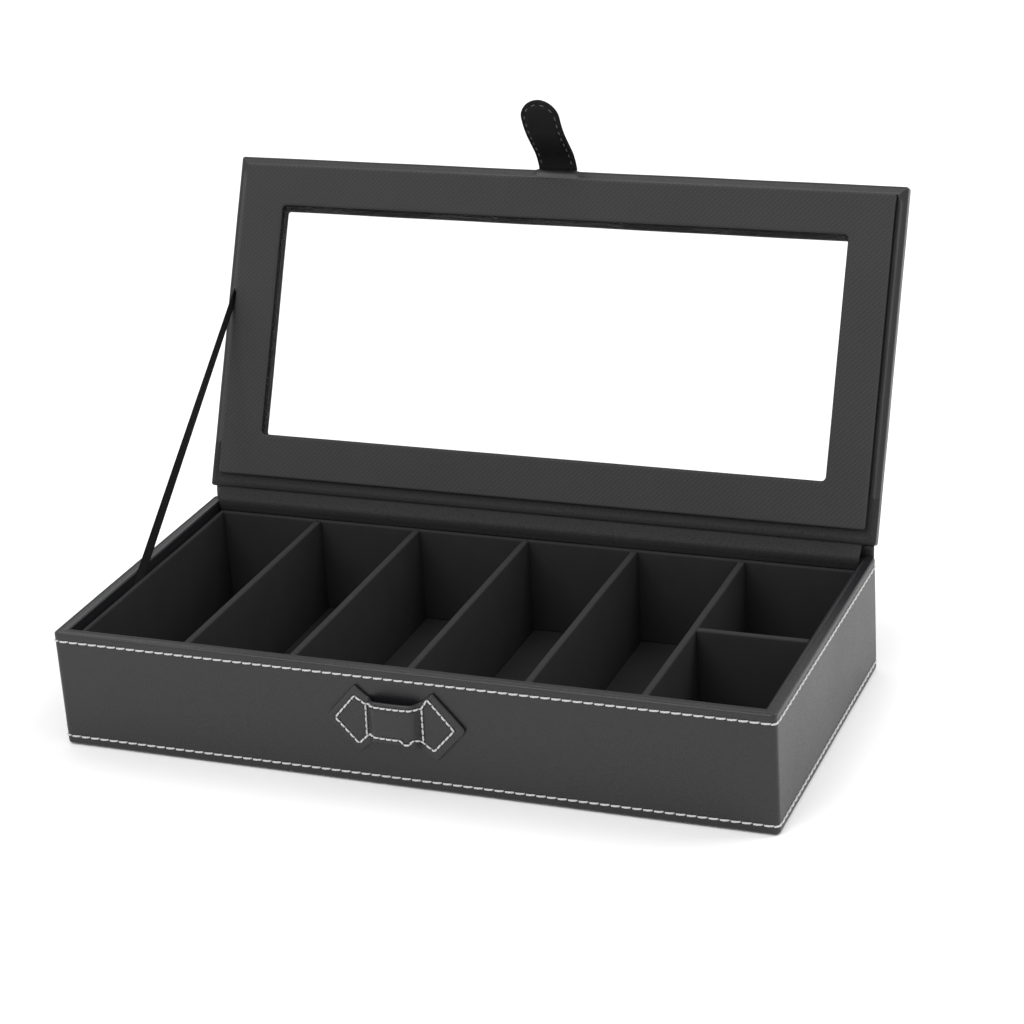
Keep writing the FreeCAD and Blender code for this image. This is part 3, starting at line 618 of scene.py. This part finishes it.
def on_keeper(seam):
    """A flat seam line laid on the strap's outer face, in steps of about 0.2 mm, and its normals there."""
    seam = np.array(seam, float) * mm
    run = run_of(seam)
    fine = np.linspace(0, run[-1], int(run[-1] / (0.2 * mm)))
    x, height = np.interp(fine, run, seam[:, 0]), np.interp(fine, run, seam[:, 1])
    lean = np.interp(x, strap_x, strap_lean)
    lift = keeper_thick / 2 - 0.05 * mm
    normal = evened(together(-np.sin(lean), -np.cos(lean), 0.0))
    return evened(together(x, -off_wall(x, height), height)) + keeper_middle + normal * lift, normal


def seam_marks(line, pitch):
    """Distances of stitch middles along an open line: equal steps of about the pitch, half a step in."""
    total = run_of(line)[-1]
    number = round(total / pitch)
    return total * (np.arange(number) + 0.5) / number


for name, seam in (("keeper_outline_stitching", keeper_outline), ("keeper_left_stitching", keeper_feet[0]),
                   ("keeper_right_stitching", keeper_feet[1])):
    line, normal = on_keeper(seam)
    sewing = stitches(name, line, normal, seam_marks(line, 3.2 * mm), white_thread, long=3.05 * mm,
                      radius=0.46 * mm, slant=3.0)
    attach(sewing, "tray")


# Lid leather: the same leather round a card frame, over its edges, through the window and a short way in on
# the inner face. Its margin is domed there and swells against the panel at the front, and a lip stands where
# the tongue's tail is glued under it.
lid_open = np.radians(-114.9)
hinge_axis = np.array([0.0, 86.0, 65.45]) * mm
lid_left, lid_right, lid_front, lid_back = np.array([-178.0, 178.0, -172.5, 0.5]) * mm
window_left, window_right, window_front, window_back = np.array([-150.4, 151.0, -147.5, -28.3]) * mm
front_rail_step, window_turned_in = 2.4 * mm, 8.0 * mm
lid_inner, lid_outer, lid_seam_inset = -2.65 * mm, 3.45 * mm, 4.4 * mm
edge_radius, window_radius, margin = 1.3 * mm, 1.0 * mm, 7.2 * mm
tongue_place, tail_half = -2.0 * mm, 10.9 * mm


def opened(points):
    """Points of the closed lid, turned open: a rotation about X, then a shift to the hinge axis."""
    x, y, z = np.moveaxis(np.asarray(points, float), -1, 0)
    return hinge_axis + together(x, y * np.cos(lid_open) - z * np.sin(lid_open),
                                 y * np.sin(lid_open) + z * np.cos(lid_open))


def edge_part(share, points):
    """Rows of (share, offset, height) along one edge of a frame, from its points of (offset, height). The
    share is 0 at the frame's outline and 1 at its window."""
    points = np.asarray(points, float)
    return together(share, *points.T)


def frame_skin(rows, outline, window, outline_turn, window_turn, steps):
    """The ring of each row: its rectangle is outline + share * (window - outline), grown by its offset."""
    share, offset, height = rows
    left, right, front, back = (a + share * (b - a) for a, b in zip(outline, window))
    radius = outline_turn + share * (window_turn - outline_turn) + offset
    return ring(left - offset, right + offset, front - offset, back + offset, np.maximum(radius, 0.4 * mm),
                height, steps)


between = np.linspace(0.36, 0.85, 7)
lid_margin = np.concatenate([straight((-turned_in, lid_inner), (-margin, lid_inner), 2),
                             straight((-margin, lid_inner), (-edge_radius, lid_inner), 13)])
lid_rows = np.concatenate([
    edge_part(0, lid_margin),
    edge_part(0, bend((-edge_radius, lid_inner + edge_radius), edge_radius, 270, 360, 7)),
    edge_part(0, straight((0, lid_inner + edge_radius), (0, lid_outer - edge_radius), 4)),
    edge_part(0, bend((-edge_radius, lid_outer - edge_radius), edge_radius, 0, 90, 7)),
    edge_part(0, straight((-edge_radius, lid_outer), (-margin, lid_outer), 13)),
    together(between, 0.0, lid_outer),
    edge_part(1, straight((2.2 * mm, lid_outer), (window_radius, lid_outer), 1)),
    edge_part(1, bend((window_radius, lid_outer - window_radius), window_radius, 90, 180, 6)),
    edge_part(1, straight((0, lid_outer - window_radius), (0, lid_inner + 0.6 * mm), 3)),
    edge_part(1, [(0, lid_inner), (window_turned_in, lid_inner), (window_turned_in, lid_inner + skin_depth),
                  (leather_thick, lid_inner + skin_depth), (leather_thick, lid_outer - skin_depth)]),
    edge_part(0, [(-leather_thick, lid_outer - skin_depth), (-leather_thick, lid_inner + skin_depth),
                  (-turned_in, lid_inner + skin_depth), (-turned_in, lid_inner)]),
]).T
lid_glued_rows = 8
lid_outline = (lid_left, lid_right, lid_front, lid_back)
lid_window = (window_left, window_right, window_front + front_rail_step, window_back)
lid_skin = frame_skin(lid_rows, lid_outline, lid_window, 1.5 * mm, 1.5 * mm, skin_steps)
share, offset, height = lid_rows
lid_line = ring(lid_left + lid_seam_inset, lid_right - lid_seam_inset, lid_front + lid_seam_inset,
                lid_back - lid_seam_inset, 0.4 * mm, lid_outer, skin_steps)[0]
lid_marks, lid_beat = even_marks(lid_line, stitch_pitch)


def fade(distance, width):
    """1 before a line and 0 past it, by a logistic curve: 1 / (1 + e to the power of distance / width)."""
    return 1 / (1 + np.exp(distance / width))


seen = (np.arange(len(share)) < len(share) - lid_glued_rows)[:, None]
on_top = ((height > lid_outer - 0.1 * mm) * (share < 0.01))[:, None]
on_inside = ((height < lid_inner + 0.05 * mm) * (share < 0.01))[:, None] * seen
bed = thread_bed(offset + lid_seam_inset, lid_beat) * on_top
dome = 0.45 * mm * valley(offset + 2.6 * mm, 1.3 * mm)[:, None] * on_inside
front_fill = 1.1 * mm * valley(offset + 4.4 * mm, 1.4 * mm)[:, None] * on_inside
front_fill = front_fill * fade(lid_skin[..., 1] - lid_front - 6.5 * mm, 0.8 * mm)
lid_skin = raised(lid_skin, sway(lid_skin, 0.10 * mm, 8) * seen - bed + dome + front_fill)

# The lip at the tongue: it stands out 0.55 mm on the inner face and up to 0.75 mm in front of the edge, and a
# third more near both ends of the tongue's tail.
past_tail = np.abs(lid_skin[..., 0] - tongue_place) - tail_half
lip = fade(past_tail, 0.35 * mm) * (1 + 0.35 * valley(past_tail + 1.2 * mm, 1.4 * mm))
lip = lip * (lid_skin[..., 1] < lid_front + 9 * mm)
margin_end = len(lid_margin)
lip_forward, lip_inward = np.zeros((2, len(share)))
lip_inward[:margin_end] = 0.55 * mm * np.clip((lid_margin[:, 0] + 4.0 * mm) / (2.4 * mm), 0, 1)
lip_inward[margin_end:margin_end + 4] = np.array([0.50, 0.35, 0.15, 0.0]) * mm
lip_forward[margin_end:margin_end + 6] = np.array([0.0, 0.3, 0.75, 0.7, 0.5, 0.3]) * mm
lid_skin[..., 1] -= lip * lip_forward[:, None]
lid_skin[..., 2] -= lip * lip_inward[:, None]
lining_leather = leather_finish("lining_leather", (0.030, 0.030, 0.031), (0.015, 0.015, 0.0155), 0.62,
                                specular=0.12, place="UV")
# Near-black matte: real black edge paint on the tongue's edges, and painted shade on the sides of the window
# and of the panel.
black_edge_paint_and_shade = Finish("black_edge_paint_and_shade", Roughness=0.9, Specular_IOR_Level=0.05)
edge_fibre = black_edge_paint_and_shade.noise(black_edge_paint_and_shade.place(), 1300.0, 3.0)
black_edge_paint_and_shade.set(Base_Color=black_edge_paint_and_shade.mix(edge_fibre, dark=(0.006, 0.006, 0.006), pale=(0.015, 0.015, 0.015)))

# Faces on the margin by the hinge take the lining leather, and the sides of the window are near-black:
# painted shade on the leather that turns through the window.
centre = (lid_skin + np.roll(lid_skin, -1, 0) + np.roll(lid_skin, -1, 1)) / 3
hinge_margin = (centre[..., 1] > window_back + 6 * mm) * (centre[..., 2] < lid_inner + 0.7 * mm)
window_side = ((share > 0.99) * (height < lid_outer - 0.1 * mm))[:, None] * seen
lid_leather = grid_piece("lid_cover", opened(lid_skin), (True, True), cloth(lid_skin),
                         [black_leather, lining_leather, black_edge_paint_and_shade],
                         np.maximum(hinge_margin * 1, window_side * 2))
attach(lid_leather, "lid")
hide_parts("lid_leather")

lid_up = np.tile(opened((0.0, 0.0, 1.0)) - hinge_axis, (len(lid_line), 1))
lid_stitching = stitches("lid_stitching", opened(lid_line - (0, 0, thread_sunk)), lid_up, lid_marks,
                         white_thread, closed=True)
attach(lid_stitching, "lid")


# Inner panel: a card frame covered in fine black twill, glued on the lid's inner face. The fabric turns
# over its outer edges and through the window, and a rebate behind it holds the pane.
panel_low = lid_inner - 3.0 * mm
panel_edge, panel_window_edge, rebate_deep, rebate_wide = 1.1 * mm, 1.5 * mm, 1.5 * mm, 6.2 * mm


def twill_finish(name, pale, dark, pitch):
    """Twill: warp and weft threads of one pitch, each round in section, and each weft goes over one warp and
    under two, one thread farther on in each row."""
    twill = Finish(name, Roughness=0.85, Specular_IOR_Level=0.12)
    where = twill.place("UV")
    a = twill.node("SeparateXYZ", {}, {0: where}, "X") / pitch
    b = twill.node("SeparateXYZ", {}, {0: where}, "Y") / pitch
    order = twill.math("FLOORED_MODULO", twill.math("FLOOR", a) + twill.math("FLOOR", b), 3.0)
    warp = twill.math("ABSOLUTE", twill.math("SINE", a * np.pi))
    weft = twill.math("ABSOLUTE", twill.math("SINE", b * np.pi))
    over = order < 0.5
    height = over * (weft * 0.9 + 0.35) + (1 - over) * warp * 0.8
    slub = twill.noise(where, 700.0, 3.0)
    cloud = twill.noise(where, 24.0, 2.0)
    # The twill pattern is real, but the colour rising with the threads' height is painted highlight on their
    # crowns and painted shade between them.
    twill.set(Base_Color=twill.mix(height * 0.7 + slub * 0.2 + (cloud - 0.4) * 0.25, dark, pale),
              Normal=twill.bump(height * 0.8 + slub * 0.2, 0.12 * mm, 0.5))
    return twill


black_twill = twill_finish("black_twill", (0.050, 0.050, 0.0505), (0.023, 0.023, 0.023), 0.85 * mm)
panel_rows = np.concatenate([
    edge_part(0, [(-1.2 * mm, lid_inner), (-0.9 * mm, lid_inner - 0.6 * mm),
                  (-0.25 * mm, panel_low + 1.5 * mm), (0, panel_low + panel_edge)]),
    edge_part(0, bend((-panel_edge, panel_low + panel_edge), panel_edge, 0, -90, 7)[1:]),
    edge_part(0, [(-1.6 * mm, panel_low), (-2.4 * mm, panel_low)]),
    together(between, 0.0, panel_low),
    edge_part(1, [(2.6 * mm, panel_low), (2.0 * mm, panel_low)]),
    edge_part(1, bend((panel_window_edge, panel_low + panel_window_edge), panel_window_edge, -90, -180, 7)),
    edge_part(1, [(0, lid_inner - rebate_deep), (rebate_wide, lid_inner - rebate_deep),
                  (rebate_wide, lid_inner)]),
]).T
panel_outline = np.array([-172.9, 172.9, -168.2, -6.4]) * mm
panel_window = (window_left, window_right, window_front, window_back)
panel_skin = frame_skin(panel_rows, panel_outline, panel_window, 1.5 * mm, 2.2 * mm, (118, 60))
share, offset, height = panel_rows
seen = (np.arange(len(share)) < len(share) - 3)[:, None]
panel_skin = raised(panel_skin, sway(panel_skin, 0.06 * mm, 12) * seen)
closed_skin = np.pad(panel_skin, ((0, 1), (0, 1), (0, 0)), "wrap")

# The panel's sides are near-black as painted shade, but for the outer one at the front, where light falls on
# the twill.
not_in_front = (panel_skin[..., 1] > panel_outline[2] + 2.0 * mm) | (share > 0.99)[:, None]
painted_shade_side = (height > panel_low + 0.55 * mm)[:, None] & not_in_front
panel = grid_piece("panel_cover", opened(panel_skin), (True, True),
                   closed_skin[..., :2] + closed_skin[..., 2:], [black_twill, black_edge_paint_and_shade], painted_shade_side)
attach(panel, "lid")
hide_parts("inner_panel")


# Window pane: a clear acrylic sheet, 1.5 mm thick, held in the panel's rebate against the lid. A faint haze
# makes its gloss a little uneven.
acrylic = Finish("clear_acrylic", Base_Color=(0.12, 0.125, 0.125, 1.0), Alpha=0.04, IOR=1.49)
haze = acrylic.noise(acrylic.place(), 60.0, 2.0)
acrylic.set(Roughness=0.03 + haze * 0.03)
cover("window_pane", acrylic)


# Hinge strips: two lengths of soft leather close the gap between the tray's back wall and the lid, one
# outside and one inside. The inner one rolls over the back rim and climbs to the lid's edge.
strip_thick = 0.8 * mm


def corner_cut(points):
    """A smooth line inside an open one: each side is cut at a quarter and three quarters, four times over."""
    line = np.array(points, float)
    for _ in range(4):
        first, last = line[:-1], line[1:]
        cut = np.stack([first * 0.75 + last * 0.25, first * 0.25 + last * 0.75], 1).reshape(-1, 2)
        line = np.concatenate([line[:1], cut[1:-1], line[-1:]])
    return line


def strip_piece(name, line, half_long, seed, ripple, finish):
    """A strip along X: its line in the YZ plane, thickened to both sides along its normal, thinner towards
    both edges. Between them it sways by the ripple times the squared sine of the share of the way across."""
    line = np.array(line) * mm
    way = unit(np.gradient(line, axis=0))
    normal = together(-way[:, 1], way[:, 0])
    distance = run_of(line)
    end = np.minimum(distance, distance[-1] - distance)
    half = strip_thick / 2 * np.clip(0.45 + end / (2.5 * mm), 0, 1)[:, None]
    loop = np.concatenate([line + normal * half, (line - normal * half)[::-1]])
    x = np.concatenate([[-half_long], np.linspace(-half_long, half_long, 240), [half_long]])
    skin = together(x[:, None], *loop.T)
    skin[[0, -1], :, 1:] = np.concatenate([line, line[::-1]])
    both_ways = np.concatenate([normal, normal[::-1]])
    loose = np.sin(np.pi * np.concatenate([distance, distance[::-1]]) / distance[-1]) ** 2
    wave = sway(together(x, 0.0, 0.0), ripple, seed)[:, None]
    skin[..., 1:] += both_ways * (wave * loose)[..., None]
    along = np.concatenate([distance, 2 * distance[-1] - distance[::-1], [2 * distance[-1]]])
    return grid_piece(name, skin, (False, True), together(x[:, None], along), [finish])


hinge_soft = leather_finish("hinge_soft_leather", (0.0125, 0.0125, 0.0140), (0.005, 0.005, 0.006), 0.38,
                            place="UV")
outer_line = corner_cut([(86.55, 43.5), (86.55, 50.0), (86.55, 58.6), (86.9, 62.3), (87.35, 64.5)])
hinge_outer = strip_piece("hinge_strip_outer", outer_line, 176.4 * mm, 21, 0.10 * mm, hinge_soft)
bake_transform(hinge_outer)
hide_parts("hinge_leather")
inner_line = corner_cut([(78.9, 54.65), (78.7, 56.4), (78.1, 58.6), (78.2, 61.4), (81.4, 63.4), (84.4, 65.85),
                         (86.3, 64.45)])
hinge_inner = strip_piece("hinge_strip_inner", inner_line, 171.3 * mm, 22, 0.28 * mm, lining_leather)
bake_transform(hinge_inner)
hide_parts("hinge_lining")


# Ribbon stay: an 8 mm wide woven ribbon that stops the lid. It comes up between the tray's left wall and the
# insert and runs straight to the lid's left margin, on edge to the wall.
ribbon_width, ribbon_thick, hidden_tail = 8.0 * mm, 0.4 * mm, 22 * mm
ribbon_route = np.array([(-171.2, -22.87, 46.27), (-171.2, -8.9, 56.79), (-171.5, 2.7, 65.52),
                         (-174.0, 126.16, 158.49)]) * mm


def ribbon_finish(name, pale, dark):
    """Woven ribbon: fine ribs across it, 0.55 mm apart, darker between them as painted shade, and a firmer,
    darker edge on both sides.
    """
    ribbon = Finish(name, Roughness=0.75, Specular_IOR_Level=0.12)
    across = ribbon.node("SeparateXYZ", {}, {0: ribbon.place("UV")}, "X")
    along = ribbon.node("SeparateXYZ", {}, {0: ribbon.place("UV")}, "Y")
    rib = ribbon.math("SINE", along * (2 * np.pi / (0.55 * mm))) * 0.5 + 0.5
    edge = ribbon.math("ABSOLUTE", across) > 0.4 * ribbon_width
    # Painted shade between the ribs; the edges are darker and flat.
    ribbon.set(Base_Color=ribbon.mix((rib * 0.6 + 0.4) * (1 - edge * 0.8), dark, pale),
               Normal=ribbon.bump(rib * (1 - edge), 0.1 * mm, 0.6))
    return ribbon


def spline_points(route):
    """Points of the smooth line that has the route's points as its control points."""
    curve = bpy.data.curves.new("route", "CURVE")
    curve.dimensions = "3D"
    spline = curve.splines.new("NURBS")
    spline.points.add(len(route) - 1)
    spline.points.foreach_set("co", np.c_[route, np.ones(len(route))].ravel())
    spline.order_u = 3
    spline.use_endpoint_u = True
    spline.resolution_u = 24
    holder = bpy.data.objects.new("route", curve)
    mesh = bpy.data.meshes.new_from_object(holder)
    points = np.array([vertex.co for vertex in mesh.vertices], float)
    bpy.data.objects.remove(holder)
    bpy.data.meshes.remove(mesh)
    return points


ribbon_line = spline_points(ribbon_route)
run = run_of(ribbon_line)
way = unit(np.gradient(ribbon_line, axis=0))
to_right = np.array([1.0, 0.0, 0.0])
twist = np.radians(10.5) * np.clip((run - hidden_tail) / (run[-1] - hidden_tail), 0, 1)[:, None]
edgewise = unit(np.cross(way, to_right)) * np.cos(twist) - to_right * np.sin(twist)
flatwise = np.cross(edgewise, way)
ribbon_half = np.full(len(ribbon_line), ribbon_width / 2)
band_x, band_z = strap_section(ribbon_half, ribbon_half, ribbon_thick, 8, 2)
band_z[[0, -1]] = 0.0
ribbon_skin = ribbon_line[:, None] + edgewise[:, None] * band_x[..., None]
ribbon_skin += flatwise[:, None] * band_z[..., None]
ribbon_lay = together(np.concatenate([band_x, band_x[:, :1]], 1), run[:, None])
ribbon = grid_piece("ribbon", ribbon_skin, (False, True), ribbon_lay,
                    [ribbon_finish("black_ribbon", (0.016, 0.016, 0.0165), (0.004, 0.004, 0.004))])
ribbon_way = unit(ribbon_route[3] - ribbon_route[0])
rim_place = np.array([-171.2, -5.3, 59.5]) * mm
tuple(rim_place - 6.6 * mm * ribbon_way)
tuple(ribbon_route[3] - 6.6 * mm * ribbon_way)
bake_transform(ribbon)
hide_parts("ribbon_stay")


# Tongue: two plies of leather sewn together near the edge, curved from the lid's front edge to a round tip.
# The outer ply is folded round the root.
tongue_half, ply_thick, tongue_seam_inset = 10.0 * mm, 0.9 * mm, 2.0 * mm
tongue_runs = np.array([(13.0, 26.0), (10.5, 0.0), (24.5, -32.0)])
tongue_root = np.array([-173.7, -1.05]) * mm
tongue_along, forward, down, heading = follow(tongue_runs * (mm, 1), (0.0, 0.0), 40.0, 401)
tongue_straight = tongue_along[-1] - tongue_half
tongue_black = leather_finish("tongue_black", (0.0066, 0.0066, 0.0070), (0.0028, 0.0028, 0.0028), 0.46,
                              specular=0.16)


def on_tongue(along, across, lift):
    """Places on the opened lid, at distances along the tongue's line and across it, lifted from it. The line
    leaves its root on the closed lid heading 40 degrees down from the front."""
    y = tongue_root[0] - np.interp(along, tongue_along, forward)
    z = tongue_root[1] - np.interp(along, tongue_along, down)
    turned = np.interp(along, tongue_along, heading)
    return opened(together(tongue_place + across, y - lift * np.sin(turned), z + lift * np.cos(turned)))


def tongue_ply(name, side):
    """One ply, on the inner side for -1 and the outer one for 1: as wide as a circle's chord over the tip,
    and sunk by a bell curve where the thread lies."""
    along = np.concatenate([np.linspace(0, tongue_straight, 60)[:-1],
                            tongue_straight + tongue_half * np.sin(np.linspace(0, np.pi / 2, 30))])
    to_tip = np.clip(along - tongue_straight, 0, None)
    half = np.sqrt(np.clip(tongue_half ** 2 - to_tip ** 2, 0, None))
    across, through = strap_section(half, half, ply_thick, 26, 4)
    edge_gap = tongue_half - np.hypot(across, to_tip[:, None])
    seam = valley(edge_gap - tongue_seam_inset, 0.6 * mm) * (through > 0.2 * ply_thick)
    through = side * (through - 0.22 * mm * seam + ply_thick / 2 + 0.01 * mm)
    through[0] = side * (ply_thick / 2)
    lay = together(along[:, None], np.linspace(0, 42 * mm, across.shape[1] + 1)[None])
    # Nine points go round each edge of a section, the first from 0 and the other from 33.
    column = np.arange(across.shape[1])
    at_edge = (column < 8) | (column > 32) & (column < 41)
    return grid_piece(name, on_tongue(along[:, None], across, through), (False, True), lay,
                      [tongue_black, black_edge_paint_and_shade], at_edge[None])


tongue_outer = tongue_ply("tongue_outer", 1)
tongue_inner = tongue_ply("tongue_inner", -1)
# The fold at the root is a rod across the tongue with small rounds at both ends.
angle = np.linspace(0, 2 * np.pi, 17)[:-1]
rod_thick = np.array([0.0, 0.82, 1.0, 1.0, 1.0, 1.0, 0.82, 0.0])[:, None] * ply_thick
rod_place = np.array([-1.0, -1.0, -0.985, -0.5, 0.5, 0.985, 1.0, 1.0])[:, None] * tongue_half
fold = together(tongue_place + rod_place, tongue_root[0] + rod_thick * np.cos(angle),
                tongue_root[1] + rod_thick * np.sin(angle))
fold_lay = together(np.linspace(0, 20 * mm, 8)[:, None], np.linspace(0, 6 * mm, 17)[None])
tongue_fold = grid_piece("tongue_root_fold", opened(fold), (False, True), fold_lay, [tongue_black])
for part, node in ((tongue_outer, "tongue_leather"), (tongue_inner, "tongue_lining")):
    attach(part, "tongue")
    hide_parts(node)
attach(tongue_fold, "tongue")

# Its seam runs down one side, round the tip and back up, in small grey stitches on both faces.
seam_half = tongue_half - tongue_seam_inset
one_side = np.linspace(tongue_seam_inset, tongue_straight, 60)
round_tip = np.linspace(0, np.pi, 60)[1:-1]
seam_along = np.concatenate([one_side, tongue_straight + seam_half * np.sin(round_tip), one_side[::-1]])
seam_across = seam_half * np.concatenate([0 * one_side + 1, np.cos(round_tip), 0 * one_side - 1])
grey_thread = thread_finish("grey_thread", (0.095, 0.095, 0.095), (0.035, 0.035, 0.035))
for name, side in (("tongue_outer_stitching", 1), ("tongue_inner_stitching", -1)):
    line = on_tongue(seam_along, seam_across, side * (ply_thick - 0.12 * mm))
    normal = side * (on_tongue(seam_along, seam_across, mm) - on_tongue(seam_along, seam_across, 0.0))
    sewing = stitches(name, line, normal, seam_marks(line, 4.8 * mm), grey_thread, long=2.2 * mm,
                      radius=0.26 * mm)
    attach(sewing, "tongue")


# Studio: a plain white paper floor under an even white sky, with large soft lamps on the right, above and in
# front.
floor_mesh = bpy.data.meshes.new("floor")
floor_mesh.from_pydata([(-9, -9, 0), (9, -9, 0), (9, 9, 0), (-9, 9, 0)], [], [(0, 1, 2, 3)])
floor = placed("floor", floor_mesh)
floor.location.z = -0.05 * mm
paper = Finish("floor_paper", Base_Color=(0.93, 0.93, 0.93, 1.0), Roughness=0.9, Specular_IOR_Level=0.1)
floor_mesh.materials.append(paper.material)

world = bpy.data.worlds.new("studio")
world.use_nodes = True
world.node_tree.nodes["Background"].inputs["Color"].default_value = (1.0, 1.0, 1.0, 1.0)
world.node_tree.nodes["Background"].inputs["Strength"].default_value = 0.88
bpy.context.scene.world = world


def lamp(name, place, target, size, watts):
    """A square soft lamp that faces a point."""
    light = bpy.data.lights.new(name, "AREA")
    light.size, light.energy = size, watts
    back = unit(np.subtract(place, target))
    right = unit(np.cross((0.0, 0.0, 1.0), back))
    stand = np.eye(4)
    stand[:3] = np.stack([right, np.cross(back, right), back, place], 1)
    placed(name, light).matrix_world = Matrix(stand.tolist())


lamp("lamp_right", (1.6, 1.0, 1.9), (0.1, 0.0, 0.05), 1.4, 32.0)
lamp("lamp_top", (-0.5, -1.2, 2.3), (0.0, 0.0, 0.1), 1.6, 20.0)
lamp("lamp_front", (-0.8, -1.85, 1.7), (0.0, 0.05, 0.1), 1.3, 12.0)
bpy.context.scene.view_settings.view_transform = "Standard"

camera_data = bpy.data.cameras.new("camera")
camera_data.lens, camera_data.sensor_width, camera_data.sensor_fit = 99.08, 36.0, "HORIZONTAL"
camera_data.clip_start, camera_data.clip_end = 0.05, 40.0
camera = placed("camera", camera_data)
camera.matrix_world = Matrix([
    (0.9315, -0.0857, 0.35370, 0.4918),
    (0.3585, 0.3835, -0.85112, -1.1209),
    (-0.0628, 0.9196, 0.38794, 0.6153),
    (0.0, 0.0, 0.0, 1.0)])
bpy.context.scene.camera = camera
